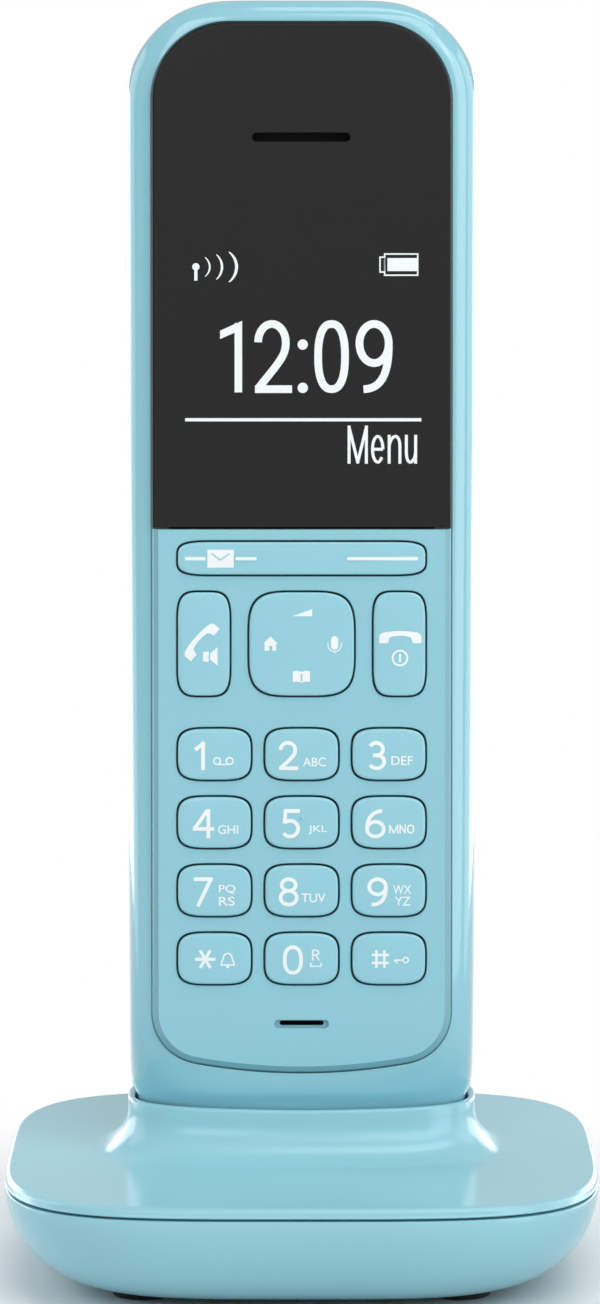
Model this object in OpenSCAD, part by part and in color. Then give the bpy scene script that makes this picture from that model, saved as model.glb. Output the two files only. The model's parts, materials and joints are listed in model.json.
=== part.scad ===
// Cordless telephone: a slim handset that stands in its charging cradle.
// Millimetres. +Z is up, the front faces -Y, X runs to the right.
// The origin is on the table plane, under the middle of the cradle.
// The handset is drawn upright in its own frame (z = 0 at its foot end, y = 0 at its
// front face) and seated() leans it back into the cradle.

/* [Handset] */
// Length along the handset's own axis
handset_l = 160; // [154:1:170]
// Width at the earpiece end
handset_w = 48; // [46.5:0.5:53]
// Depth from the front face to the back
handset_d = 25; // [25:0.5:30]
// Wall thickness of both housings
wall = 2; // [1.8:0.1:2.2]
// Corner radius at the earpiece end, seen from the front
top_corner_r = 13.7; // [11:0.1:15]
// Radius of the edge between the front face and the top end
top_edge_r = 3; // [2:0.1:3.5]
// How much narrower each side is at the foot than at the earpiece
side_taper = 0.6; // [0:0.1:1]
// How much thinner the back is at the earpiece end
back_thinning = 3; // [1:0.5:4]
// Depth of the joint line between the front and rear housings
joint_line = 12.5; // [12:0.1:13]
// Height at which the front starts to curve back to the foot
chin_start = 26; // [22:0.5:30]
// Radius of that curve, seen from the side
chin_r = 90; // [70:1:140]
// Corner radius at the foot, seen from the front
foot_corner_r = 6; // [4:0.5:7]
// Step all round the foot where it enters the cradle
foot_step = 0.9; // [0.5:0.1:1.2]

/* [Front face] */
// Width of the display window and the keypad panel
face_w = 40.8; // [40:0.1:41.6]
// How far the window and the panel stand proud of the housing
face_proud = 0.5; // [0.3:0.05:0.7]
// Thickness of the window and the panel
face_t = 1.5; // [1.3:0.05:1.6]
// From the top end of the handset to the top edge of the window
face_top = 3.2; // [2.6:0.1:3.6]
// From the foot end of the handset to the lower edge of the panel
panel_foot = 14.5; // [13:0.1:16]
// Radius of the bowed lower edge of the panel
panel_bow_r = 54; // [45:1:80]
// Corner radius at the lower end of the panel
panel_corner_r = 4.5; // [3:0.1:8]
// Line between the window, the panel and the housing
face_gap = 0.15; // [0.1:0.05:0.25]
// Width of the earpiece slot
ear_slot_w = 13.6; // [10:0.1:16]
// Height of the earpiece slot
ear_slot_h = 1.2; // [0.8:0.1:1.6]
// From the top edge of the window to the earpiece slot
ear_slot_drop = 15.5; // [14.5:0.1:16.5]
// Width of the microphone slot
mic_slot_w = 6; // [4:0.1:8]
// Height of the microphone slot
mic_slot_h = 0.6; // [0.5:0.1:1]
// From the lower edge of the panel to the microphone slot
mic_slot_rise = 6.8; // [6:0.1:7.4]

/* [Keys] */
// From the side of the panel to the outer keys
key_margin = 3.65; // [3.2:0.05:4]
// Space between number keys across
key_space_x = 1.95; // [1.5:0.05:2.5]
// Height of a number key
key_h = 6.9; // [6.4:0.1:7.5]
// Space between number keys down
key_space_z = 2.35; // [1.6:0.05:2.4]
// How far the corners of the number keys sweep in along their upper edge
key_r = 4.85; // [2.5:0.05:4.9]
// Width of the talk key and of the end key
call_key_w = 7; // [6.4:0.1:7.4]
// Height of the talk key, the end key and the navigation key
call_key_h = 14; // [13:0.1:14.5]
// Space on each side of the navigation key
nav_space = 2.65; // [1.8:0.05:3]
// Height of the soft key bar
soft_h = 4.4; // [4:0.1:4.8]
// From the lower edge of the panel to the last row of number keys
digit_rise = 12.15; // [11:0.05:12.4]
// From the talk key down to the first row of number keys
digit_drop = 4.5; // [3.8:0.1:5]
// From the soft key bar down to the talk key
call_drop = 2.4; // [1.9:0.1:3]
// From the top edge of the panel down to the soft key bar
soft_drop = 1.8; // [1.7:0.05:3]
// Line round each key
key_gap = 0.25; // [0.15:0.05:0.3]
// How far a key stands proud of the panel
key_rise = 0.35; // [0.2:0.05:0.5]
// Travel of a key
key_travel = 0.45; // [0.3:0.05:0.5]

/* [Battery] */
// Diameter of a cell
cell_dia = 10.4; // [10:0.1:10.5]
// Length of a cell
cell_l = 44.5; // [43:0.1:45]
// Width of the battery cover
cover_w = 30; // [28:0.5:31]
// Length of the battery cover
cover_l = 70; // [68:0.5:72]
// Thickness of the battery cover
cover_t = 1.5; // [1.2:0.1:1.6]

/* [Cradle] */
// Width of the cradle
cradle_w = 80.6; // [76:0.2:90]
// Depth of the cradle from front to back
cradle_l = 82.4; // [77:0.2:90]
// Squareness of the cradle seen from above: 2 is an oval, more is squarer
cradle_square = 4; // [3.6:0.1:6]
// Height of the seam between the cover and the bottom shell
seam_h = 14.35; // [13.2:0.05:15]
// Height of the flat top above the seam
plate_rise = 1.55; // [1.5:0.05:3]
// How far the bottom shell draws in from the seam to its flat base
bowl_inset = 14.7; // [11:0.1:15]
// Wall thickness of the cradle's shells
cradle_wall = 1.8; // [1.6:0.1:2]
// Width of the seam
seam_gap = 0.4; // [0.3:0.05:0.5]
// Height of the collar above the flat top
collar_h = 6.8; // [5.8:0.1:7]
// Thickness of the collar at its rim
collar_t = 1; // [0.8:0.1:1.4]
// Radius of the sweep from the collar into the flat top
flare_r = 5.2; // [4:0.1:5.6]
// How much higher the rim is at the sides than in front
rim_lift = 0.5; // [0:0.1:1]
// Depth of the seat below the front of the rim
seat_depth = 9.3; // [8.6:0.1:9.8]
// Clearance round the handset in its seat
seat_gap = 0.35; // [0.3:0.05:0.5]
// From the front edge of the cradle to the front of the rim
seat_setback = 33.4; // [31:0.1:36]
// How far the handset leans back
lean = 4.7; // [2:0.1:6]

/* [Feet and screws] */
// Radius of a rubber foot
foot_r = 4.35; // [3.5:0.05:4.5]
// Height of the flat base above the table
foot_h = 0.4; // [0.4:0.1:1.4]
// Sideways distance of a foot from the middle
foot_x = 21.2; // [20:0.1:22]
// Fore and aft distance of a foot from the middle
foot_y = 20.5; // [20:0.1:23]
// Radius of a screw's shank
screw_r = 1.1; // [0.9:0.05:1.3]

/* [Hidden] */

BLUE = "#92cedd";
PALE_BLUE = "#a4d9e5";
$fn = 48;

// Small clearance between pieces of one body, and between a moving piece and its stop
hair = 0.05;
over = 1;

// ---- Layers through the handset, as depths from its front face ----
floor_y = face_t - face_proud;      // back of the panel, on the floor of its pocket
inner_y = wall;                     // inside of the front wall
flange_t = 0.55;                    // flange that holds a key behind the panel
tilt_room = 0.5;                    // room for a rocking key in front of its flange
press_gap = key_travel + hair;      // room behind a key
key_back = floor_y + hair + flange_t + tilt_room;
dome_front = key_back + press_gap;  // fronts of the mat's bosses, drawn pressed
mat_front = dome_front + 0.4;
mat_t = 0.6;
dome_t = 0.15;
board_front = mat_front + mat_t + dome_t;
board_t = 1;
board_back = board_front + board_t;

// ---- Places along the handset: the keys stand on the foot, the window takes the rest ----
key_pitch_z = key_h + key_space_z;
digit_z = panel_foot + digit_rise + key_h / 2 + 3 * key_pitch_z;
call_z = digit_z + key_h / 2 + digit_drop + call_key_h / 2;
soft_z = call_z + call_key_h / 2 + call_drop + soft_h / 2;
panel_top = soft_z + soft_h / 2 + soft_drop;
window_foot = panel_top + face_gap;
window_top = handset_l - face_top;
window_l = window_top - window_foot;
ear_z = window_top - ear_slot_drop;
mic_z = panel_foot + mic_slot_rise;

// ---- Places across the handset ----
soft_w = face_w - 2 * key_margin;
key_w = (soft_w - 2 * key_space_x) / 3;
key_pitch_x = key_w + key_space_x;
nav_w = soft_w - 2 * call_key_w - 2 * nav_space;
call_x = (soft_w - call_key_w) / 2;

// ---- How far the corners of the keys sweep in, as [across, up] ----
key_sweep = [min(key_r, key_w / 2 - 0.05), key_h / 2 - 0.05];
call_sweep = [call_key_w / 2 - 0.2, 4.8];
nav_sweep = [nav_w / 2 - 0.5, nav_w / 2 - 0.5];
soft_sweep = [5.5, soft_h / 2 - 0.05];
rim_side = (handset_w - face_w) / 2;
face_r = top_corner_r - rim_side + 0.3;
foot_edge_r = 3;
back_top_r = 7;
front_square = 7;
foot_square = 3.4;
back_square = 3;
key_square = 3.8;                   // squareness of the keys' corners
widest = 0.46;                      // place of the widest point between front and back
taper_l = 100;                      // length over which the sides draw in
step_low = seat_depth + rim_lift - 0.2;
step_high = step_low + 2.2;

// ---- Battery bay, centred on the width ----
cell_gap = 0.4;
cell_y = handset_d - cover_t - 0.6 - cell_dia / 2 - 0.4;
cell_x = cell_dia / 2 + cell_gap / 2 + 0.1;
bay_wall = 1;
bay_w = 2 * cell_x + cell_dia + 2 * cell_gap;
bay_floor = cell_y - cell_dia / 2 - 0.3;
bay_foot = 29;
contact_room = 2.6;
cell_foot = bay_foot + contact_room;
bay_top = cell_foot + cell_l + 1.4 + contact_room;
cover_foot = 27;
cover_top = cover_foot + cover_l;
cover_mid = (cover_foot + cover_top) / 2;
cover_r = 4;
cover_gap = 0.25;
ledge_w = 1.8;
ledge_y = cell_y + 2.6;
screw_x = 11.5;
screw_z = window_foot + 3.6;
screw_head_r = 2;
screw_head_h = 1;
boss_r = 2.1;

// ---- Cradle heights ----
plate_z = seam_h + plate_rise;
rim_z = plate_z + collar_h;
shell_floor = foot_h + cradle_wall;
rest_gap = hair;
seat_floor_t = 1.6;
pad_x = 8;
pad_y = handset_d - 8;
pad_w = 6;
pad_l = 4;
pin_w = 3;
pin_l = 2.4;
pin_flange = 0.8;
pin_flange_t = 0.5;
carrier_t = 2.4;
carrier_back = pad_y + 3.5;
carrier_front = pad_y - 3.5;
post_r = 2.6;
post_x = 11;
post_y = 24;
screw_clear = 0.05;
cradle_board_z = shell_floor + 0.7;
cradle_board_t = 1;
socket_w = 10;
socket_h = 6;
socket_l = 10;
socket_back = cradle_l / 2 - 5.6;
notch_in = 3.4;                     // how far the socket stands in the shell's notch
notch_gap = 0.2;
plug_w = 7.6;
plug_h = 4.4;
plug_l = 8;

// ---- Keys ----
cap_edge = 0.25;                    // step round the face of a cap
flange_w = 0.4;
plunger_r = 1.1;
pivot_r = 1.3;
mat_boss_r = 1.3;

// ---- Display, boards and speakers ----
display_w = handset_w - 2 * wall - 9;
screen_w = display_w - 2;
screen_foot = window_foot + 7.5;
screen_top = ear_z - 13.2;
screen_rim = 1.4;                   // edge of the display behind its opening
display_foot = screen_foot - screen_rim;
display_top = screen_top + screen_rim;
display_front = inner_y + 0.4;      // behind the curve of the front wall
display_back = (display_front + board_front) / 2;
display_mid = (display_foot + display_top) / 2;
display_l = display_top - display_foot;
mat_w = soft_w + 1.9;
mat_edge = 0.3;
mat_foot = panel_foot + 11;
mat_top = panel_top - 1;
board_w = handset_w - 2 * wall - 7;
board_foot = panel_foot + 1.5;
board_top = display_top + 2.5;
ear_w = 15.4;
ear_h = 8.4;
mic_r = 2;
boot_r = mic_r + 0.9;
boot_t = 0.5;
mic_front = inner_y + chin(mic_z - boot_r) + boot_t + hair;
ringer_r = 9.5;
ringer_z = cover_top + 18;
ringer_back = handset_d - wall - 2;
ringer_t = 1.6;
ringer_magnet_t = 2.4;
ear_t = 1.15;
ear_magnet_t = 2;
shield_x0 = -14;
shield_x1 = 5;
shield_l = 19;
shield_drop = 11.4;                 // from the end of the board down to the shield can
shield_top = board_top - shield_drop;
shield_foot = shield_top - shield_l;
shield_h = 2.4;
shield_t = 0.3;
grille_w = 12;
grille_h = 1.1;
grille_pitch = 2.5;

// ---- Battery cover and screws ----
cover_rest = 0.2;                   // room under the cover
prong_in = 10;
prong_drop = 5.1;                   // from the screws down to the upper prongs
prong_side = 1.6;
prong_t = 1;
prong_w = 3.6;
screw_seat_y = ledge_y + 0.9;
screw_end_y = joint_line;

// ---- Inside the cradle ----
seat_wall = 1.5;
lip_h = 1.4;
lip_in = cradle_wall + 0.25;
lip_t = 1;
post_split = 7;
cradle_screw_seat = foot_h + 1.8;
cradle_screw_end = 11;
foot_top = foot_h + 0.6;
board_post_x = 17;
board_post_y = 9;
pin_gap = 0.1;
pin_room = 1;
carrier_w = 26;
socket_z = cradle_board_z + cradle_board_t + socket_h / 2;

// ---- Curves ----
function sgn(v) = v < 0 ? -1 : 1;
function ease(t) = t <= 0 ? 0 : t >= 1 ? 1 : t * t * (3 - 2 * t);
// Inset of a round corner of radius r at a distance t from the end
function corner_in(t, r) = t <= 0 ? r : t >= r ? 0 : r - sqrt(r * r - (r - t) * (r - t));
// Depth of the front face at a height: flat, then curving back to the foot
function chin(z) = z >= chin_start ? 0 : pow(chin_start - z, 2) / (2 * chin_r);
// Inset of the foot at height z and depth y: its step runs parallel to the cradle's rim
function foot_in(z, y) =
    foot_step * (1 - ease((z - y * tan(lean) - step_low) / (step_high - step_low)));

// The handset's half width, front and back at height z, for a skin moved out by e
function half_w(z, e) = handset_w / 2 + e - side_taper * (1 - min(1, z / taper_l))
    - foot_in(z, handset_d / 2)
    - corner_in(handset_l + e - z, top_corner_r + e) - corner_in(z + e, foot_corner_r + e);
function front_at(z, e) = chin(z) + foot_in(z, 0) - e
    + corner_in(handset_l + e - z, max(0.5, top_edge_r + e))
    + corner_in(z + e, max(0.5, foot_edge_r + e));
function back_at(z, e) = handset_d + e - foot_in(z, handset_d)
    - back_thinning * ease((z - cover_top) / (handset_l - cover_top))
    - corner_in(handset_l + e - z, back_top_r + e)
    - corner_in(z + e, max(0.5, foot_edge_r + e));
function front_n(z) = foot_square + (front_square - foot_square) * ease((z - 9) / 13);

// Point of the handset's cross section at angle a, as [x, y]
function section(a, z, e) =
    let (c = cos(a), s = sin(a), f = front_at(z, e), b = back_at(z, e),
         m = f + (b - f) * widest, n = s < 0 ? front_n(z) : back_square)
    [half_w(z, e) * sgn(c) * pow(abs(c), 2 / n),
     s < 0 ? m - (m - f) * pow(-s, 2 / n) : m + (b - m) * pow(s, 2 / n)];
function section_ring(z, e, n) =
    [for (k = [0:n - 1]) let (p = section(360 * k / n, z, e)) [p.x, p.y, z]];

// Heights of the rings: close together where the ends round over
function ring_heights(e, steps) = let (top = handset_l + e, r = top_corner_r + e)
    concat([for (k = [0:steps]) -e + (foot_corner_r + e) * (1 - cos(90 * k / steps))],
           [for (k = [0:4]) step_low + (step_high - step_low) * k / 2],
           [16, 20, chin_start,
            60, taper_l, (taper_l + top - r) / 2 + 4],
           [for (k = [0:2 * steps]) top - r * (1 - cos(90 - 45 * k / steps))]);

// Squarish loop of the cradle's plan at angle a
function plan(a, inset, z) = let (c = cos(a), s = sin(a), p = 2 / cradle_square)
    [(cradle_w / 2 - inset) * sgn(c) * pow(abs(c), p),
     (cradle_l / 2 - inset) * sgn(s) * pow(abs(s), p), z];
function plan_ring(inset, z, n) = [for (k = [0:n - 1]) plan(360 * k / n, inset, z)];

// ---- Seating the handset ----
rim_front = front_at(seat_depth, 0);
seat_y = seat_setback - cradle_l / 2 - rim_front * cos(lean) - seat_depth * sin(lean);
seat_z = rim_z - seat_depth * cos(lean) + rim_front * sin(lean);
function seated(p) = [p.x, seat_y + p.y * cos(lean) + p.z * sin(lean),
                      seat_z - p.y * sin(lean) + p.z * cos(lean)];
// Point of a loop round the seat at angle a, moved out by e, at a world height
function seat_point(a, e, h) =
    let (p = section(a, seat_depth, 0), c = cos(a), s = sin(a), n = s < 0 ? foot_square : back_square,
         x = p.x + e * sgn(c) * pow(abs(c), 2 / n), y = p.y + e * sgn(s) * pow(abs(s), 2 / n),
         z = (h - seat_z + y * sin(lean)) / cos(lean))
    [x, seat_y + y * cos(lean) + z * sin(lean), h];
function rim_rise(a) = rim_lift * pow(abs(cos(a)), 0.8);
function seat_ring(e, h, n, lift = 0) =
    [for (k = [0:n - 1]) let (a = 360 * k / n) seat_point(a, e, h + lift * rim_rise(a))];
// The same loop at a height along the handset's own axis
function seat_floor_ring(e, z, n) =
    [for (k = [0:n - 1]) let (a = 360 * k / n, c = cos(a), s = sin(a),
         m = s < 0 ? foot_square : back_square, p = section(a, seat_depth, 0))
     seated([p.x + e * sgn(c) * pow(abs(c), 2 / m), p.y + e * sgn(s) * pow(abs(s), 2 / m), z])];

// ---- Building blocks ----
// Skin over a stack of rings, each with as many points, closed at both ends
module loft(rings) {
    n = len(rings[0]);
    m = len(rings);
    sides = [for (j = [0:m - 2], k = [0:n - 1])
        let (q = (k + 1) % n, a = j * n + k, b = a + n, c = (j + 1) * n + q, d = j * n + q)
        each [[a, b, c], [a, c, d]]];
    polyhedron(points = [for (r = rings) each r],
               faces = concat([[for (k = [0:n - 1]) k]], sides,
                              [[for (k = [n - 1:-1:0]) (m - 1) * n + k]]));
}
module seated() {
    translate([0, seat_y, seat_z]) rotate([-lean, 0, 0]) children();
}
// Extrudes an outline drawn in X and Z from depth y0 to depth y1
module along_y(y0, y1) {
    translate([0, y1, 0]) rotate([90, 0, 0]) linear_extrude(y1 - y0) children();
}
module rounded(w, h, r) {
    square([w - 2 * r, h], center = true);
    square([w, h - 2 * r], center = true);
    for (x = [-1, 1], y = [-1, 1]) translate([x * (w / 2 - r), y * (h / 2 - r)]) circle(r);
}
// Rectangle whose corners sweep in early, so that its sides look slightly bowed
module soft_rounded(w, h, sweep) {
    steps = 7;
    corners = [[1, 1, false], [-1, 1, true], [-1, -1, false], [1, -1, true]];
    polygon([for (c = corners, k = [0:steps - 1])
        let (a = 90 * (c[2] ? steps - k - 0.5 : k + 0.5) / steps)
        [c.x * (w / 2 - sweep.x * (1 - pow(cos(a), 2 / key_square))),
         c.y * (h / 2 - sweep.y * (1 - pow(sin(a), 2 / key_square)))]]);
}
module slab(x0, x1, y0, y1, z0, z1) {
    translate([x0, y0, z0]) cube([x1 - x0, y1 - y0, z1 - z0]);
}
module handset_skin(e, n, steps) {
    loft([for (z = ring_heights(e, steps)) section_ring(z, e, n)]);
}
// Outline of the window from its lower edge to its round top corners
module window_outline(grow) {
    w = face_w + 2 * grow;
    r = face_r + grow;
    l = window_l + 2 * grow;
    translate([0, window_foot - grow]) {
        translate([-w / 2, 0]) square([w, l - r]);
        translate([-w / 2 + r, 0]) square([w - 2 * r, l]);
        for (x = [-1, 1]) translate([x * (w / 2 - r), l - r]) circle(r);
    }
}
// Side profile of the keypad panel, in Y and Z: flat, then curving back with the chin
module panel_profile(front, back) {
    steps = 7;
    foot = panel_foot - 1;
    zs = [for (k = [0:steps]) foot + (chin_start - foot) * k / steps];
    polygon(concat([for (z = zs) [chin(z) + front, z]], [[front, panel_top], [back, panel_top]],
                   [for (k = [steps:-1:0]) [chin(zs[k]) + back, zs[k]]]));
}
// Outline of the panel: straight sides, and round corners that run into the bowed foot
module panel_outline(grow) {
    w = face_w + 2 * grow;
    r = panel_corner_r + grow;
    bow_r = panel_bow_r + grow;
    bow_z = panel_foot + panel_bow_r;
    corner_x = w / 2 - r;
    corner_z = bow_z - sqrt(pow(bow_r - r, 2) - corner_x * corner_x);
    meet_x = corner_x * bow_r / (bow_r - r);
    translate([-w / 2, corner_z]) square([w, panel_top - corner_z]);
    for (x = [-1, 1]) translate([x * corner_x, corner_z]) circle(r);
    intersection() {
        translate([0, bow_z]) circle(bow_r, $fn = 96);
        translate([-meet_x, bow_z - bow_r - 1]) square([2 * meet_x, corner_z - bow_z + bow_r + 1]);
    }
}
// The keypad panel's body, or with grow its pocket
module panel_body(grow, front, back) {
    w = face_w + 2 * grow;
    intersection() {
        translate([-w / 2, 0, 0]) rotate([90, 0, 90]) linear_extrude(w)
            panel_profile(front, back);
        along_y(front - over, back + 3) panel_outline(grow);
    }
}
module slot(w, h) {
    rounded(w, h, h / 2 - 0.01);
}
module at(x, z) {
    translate([x, 0, z]) children();
}
// Round piece along the depth of the handset
module post(r, y0, y1, x, z) {
    translate([x, y0, z]) rotate([-90, 0, 0]) cylinder(r = r, h = y1 - y0);
}

// ---- Keys ----
function grown(sweep, by) = [sweep.x + by, sweep.y + by];
module key_hole(x, z, w, h, sweep) {
    at(x, z) along_y(-face_proud - over, floor_y + over)
        soft_rounded(w + 2 * key_gap, h + 2 * key_gap, grown(sweep, key_gap));
}
// A cap with the flange that keeps it behind the panel; room is its tilting clearance
module cap(x, z, w, h, sweep, room) {
    flange = floor_y + hair + room + chin(z - h / 2 - flange_w);
    color(BLUE) seated() at(x, z) {
        along_y(-face_proud - key_rise, -face_proud)
            soft_rounded(w - 2 * cap_edge, h - 2 * cap_edge, grown(sweep, -cap_edge));
        along_y(-face_proud - key_rise + cap_edge, flange + flange_t / 2) soft_rounded(w, h, sweep);
        along_y(flange, flange + flange_t)
            soft_rounded(w + 2 * flange_w, h + 2 * flange_w, grown(sweep, flange_w));
    }
}
// A key that presses straight in, with the plunger that reaches its snap dome
module press_key(x, z, w, h, sweep) {
    cap(x, z, w, h, sweep, 0);
    color(BLUE) seated() post(plunger_r, floor_y + hair + flange_t / 2, key_back, x, z);
}
module digit_key(column, row) {
    press_key(column * key_pitch_x, digit_z - row * key_pitch_z, key_w, key_h, key_sweep);
}
module key_1() { digit_key(-1, 0); }
module key_2() { digit_key(0, 0); }
module key_3() { digit_key(1, 0); }
module key_4() { digit_key(-1, 1); }
module key_5() { digit_key(0, 1); }
module key_6() { digit_key(1, 1); }
module key_7() { digit_key(-1, 2); }
module key_8() { digit_key(0, 2); }
module key_9() { digit_key(1, 2); }
module key_star() { digit_key(-1, 3); }
module key_0() { digit_key(0, 3); }
module key_hash() { digit_key(1, 3); }
module talk_key() { press_key(-call_x, call_z, call_key_w, call_key_h, call_sweep); }
module end_key() { press_key(call_x, call_z, call_key_w, call_key_h, call_sweep); }
module soft_key_bar() { cap(0, soft_z, soft_w, soft_h, soft_sweep, tilt_room); }
module navigation_key() { cap(0, call_z, nav_w, call_key_h, nav_sweep, tilt_room); }
// Block behind the navigation key on which it rocks both ways
module navigation_pivot() {
    color("#d8d8d8") seated() post(pivot_r, key_back + 0.1, mat_front - 0.1, 0, call_z);
}

// ---- Handset, in front ----
module display_window() {
    color("#202020") seated() difference() {
        along_y(-face_proud, floor_y) window_outline(0);
        at(0, ear_z) along_y(-face_proud - over, floor_y + over) slot(ear_slot_w, ear_slot_h);
    }
}
module keypad_panel() {
    color(BLUE) seated() difference() {
        panel_body(0, -face_proud, floor_y);
        for (column = [-1:1], row = [0:3])
            key_hole(column * key_pitch_x, digit_z - row * key_pitch_z, key_w, key_h, key_sweep);
        for (side = [-1, 1]) key_hole(side * call_x, call_z, call_key_w, call_key_h, call_sweep);
        key_hole(0, call_z, nav_w, call_key_h, nav_sweep);
        key_hole(0, soft_z, soft_w, soft_h, soft_sweep);
        at(0, mic_z) along_y(-face_proud - over, floor_y + over) slot(mic_slot_w, mic_slot_h);
    }
}
module handset_front_housing() {
    color(BLUE) seated() difference() {
        union() {
            intersection() {
                difference() {
                    handset_skin(0, 64, 6);
                    handset_skin(-wall, 32, 4);
                }
                slab(-handset_w, handset_w, -over, joint_line, -over, handset_l + over);
            }
            for (x = [-1, 1]) post(boss_r, (floor_y + inner_y) / 2, ledge_y, x * screw_x, screw_z);
        }
        along_y(-face_proud - over, floor_y) window_outline(face_gap);
        panel_body(face_gap, -face_proud - over, floor_y);
        slab(-face_w / 2, face_w / 2, -over, floor_y, panel_top - over, window_foot + over);
        slab(-screen_w / 2, screen_w / 2, 0, inner_y + over, screen_foot, screen_top);
        slab(-mat_w / 2, mat_w / 2, 0, inner_y + over, mat_foot, mat_top);
        at(0, ear_z) along_y(0, inner_y + over) slot(ear_slot_w, ear_slot_h);
        at(0, mic_z) along_y(0, inner_y + over) slot(mic_slot_w, mic_slot_h);
        for (x = [-1, 1])
            post(screw_r + screw_clear, screw_end_y - 0.5, ledge_y + over, x * screw_x, screw_z);
    }
}
module display_module() {
    color("#3c4a4e") seated() along_y(display_front, display_back)
        translate([0, display_mid]) square([display_w, display_l], center = true);
}
module backlight_frame() {
    color("white") seated() along_y(display_back, board_front)
        translate([0, display_mid]) square([display_w, display_l], center = true);
}
module earpiece_speaker() {
    color("#404040") seated() {
        at(0, ear_z) along_y(inner_y + hair, inner_y + hair + ear_t) slot(ear_w, ear_h);
        at(0, ear_z) along_y(inner_y + hair + ear_t, inner_y + hair + ear_t + ear_magnet_t)
            rounded(ear_w - 2, ear_h - 2, ear_h / 3);
    }
}
module microphone_boot() {
    color("#303030") seated() difference() {
        post(boot_r, mic_front - boot_t, board_front, 0, mic_z);
        post(mic_r + hair, mic_front, board_front + over, 0, mic_z);
        post(0.7, mic_front - over, board_front, 0, mic_z);
    }
}
module microphone() {
    color("#b0b0b0") seated() post(mic_r, mic_front, board_front, 0, mic_z);
}
// Calls its children at the centre of each switch behind the keys, as [x, z]
module at_switches() {
    places = concat(
        [for (column = [-1:1], row = [0:3]) [column * key_pitch_x, digit_z - row * key_pitch_z]],
        [for (side = [-1, 1]) [side * call_x, call_z]],
        [for (side = [-1, 1]) [side * soft_w * 0.4, soft_z]],
        [for (side = [-1, 1]) [side * nav_w * 0.34, call_z]],
        [for (side = [-1, 1]) [0, call_z + side * nav_w * 0.34]]);
    for (place = places) translate([place.x, 0, place.y]) children();
}
module keypad_mat() {
    color("#c8ccd0") seated() {
        slab(-mat_w / 2 + mat_edge, mat_w / 2 - mat_edge, mat_front, mat_front + mat_t,
             mat_foot + mat_edge, mat_top - mat_edge);
        at_switches() post(mat_boss_r, dome_front, mat_front + mat_t / 2, 0, 0);
    }
}
module snap_domes() {
    color("silver") seated() at_switches() post(mat_boss_r + 0.3, mat_front + mat_t, board_front, 0, 0);
}
module main_board() {
    color("#1f5c3a") seated() difference() {
        along_y(board_front, board_back) translate([0, (board_foot + board_top) / 2])
            rounded(board_w, board_top - board_foot, 3);
        for (x = [-1, 1]) post(boss_r + 0.3, board_front - over, board_back + over, x * screw_x, screw_z);
    }
}
module shield_can() {
    color("silver") seated() difference() {
        slab(shield_x0, shield_x1, board_back, board_back + shield_h,
             shield_foot, shield_top);
        slab(shield_x0 + shield_t, shield_x1 - shield_t, board_back - over, board_back + shield_h - shield_t,
             shield_foot + shield_t, shield_top - shield_t);
    }
}
module antenna() {
    color("#c9a35a") seated() {
        slab(7, 17, board_back + 2, board_back + 2.4, board_top - 8, board_top - 1);
        slab(16.6, 17, board_back, board_back + 2.2, board_top - 3, board_top - 1);
        slab(9, 9.4, board_back, board_back + 2.2, board_top - 3, board_top - 1);
    }
}

// ---- Handset, behind ----
module cover_outline(grow) {
    translate([0, cover_mid]) rounded(cover_w + 2 * grow, cover_l + 2 * grow, cover_r + grow);
}
module at_cover_prongs() {
    for (x = [-1, 1], z = [cover_foot + prong_in, screw_z - prong_drop])
        translate([x * (cover_w / 2 - prong_side), 0, z]) children();
}
module prong(grow) {
    slab(-prong_t / 2 - grow, prong_t / 2 + grow, ledge_y + 0.6 - grow, handset_d - cover_t - 0.3,
         -prong_w / 2 - grow, prong_w / 2 + grow);
}
module battery_cover() {
    color(BLUE) seated() {
        difference() {
            intersection() {
                handset_skin(0, 64, 6);
                along_y(cell_y, handset_d + over) cover_outline(0);
            }
            handset_skin(-cover_t, 32, 4);
        }
        intersection() {
            at_cover_prongs() prong(0);
            handset_skin(-cover_t + 0.3, 32, 4);
        }
    }
}
module handset_rear_housing() {
    color(BLUE) seated() difference() {
        union() {
            intersection() {
                difference() {
                    handset_skin(0, 64, 6);
                    handset_skin(-wall, 32, 4);
                }
                slab(-handset_w, handset_w, joint_line, handset_d + over, -over, handset_l + over);
            }
            intersection() {
                handset_skin(-wall / 2, 32, 4);
                union() {
                    along_y(ledge_y, handset_d + over) cover_outline(ledge_w);
                    slab(-bay_w / 2 - bay_wall, bay_w / 2 + bay_wall, bay_floor - bay_wall, handset_d,
                         bay_foot - bay_wall, bay_top + bay_wall);
                    post(ringer_r + 1.2, ringer_back - 3, handset_d, 0, ringer_z);
                }
            }
        }
        difference() {
            along_y(cell_y, handset_d + over) cover_outline(cover_gap);
            handset_skin(-cover_t - cover_rest, 32, 4);
        }
        slab(-bay_w / 2, bay_w / 2, bay_floor, handset_d + over, bay_foot, bay_top);
        at_cover_prongs() prong(cover_gap);
        post(ringer_r + 0.2, ringer_back - 3 - over, ringer_back + 0.1, 0, ringer_z);
        for (k = [-2:2]) at(0, ringer_z + k * grille_pitch) along_y(joint_line, handset_d + over)
            slot(grille_w, grille_h);
        for (x = [-1, 1]) {
            post(screw_r + screw_clear, ledge_y - over, handset_d, x * screw_x, screw_z);
            post(screw_head_r + 0.2, screw_seat_y, handset_d + over, x * screw_x, screw_z);
            translate([x * pad_x, pad_y, 0])
                cube([pad_w + 2 * hair, pad_l + 2 * hair, 3 * wall], center = true);
        }
    }
}
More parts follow.
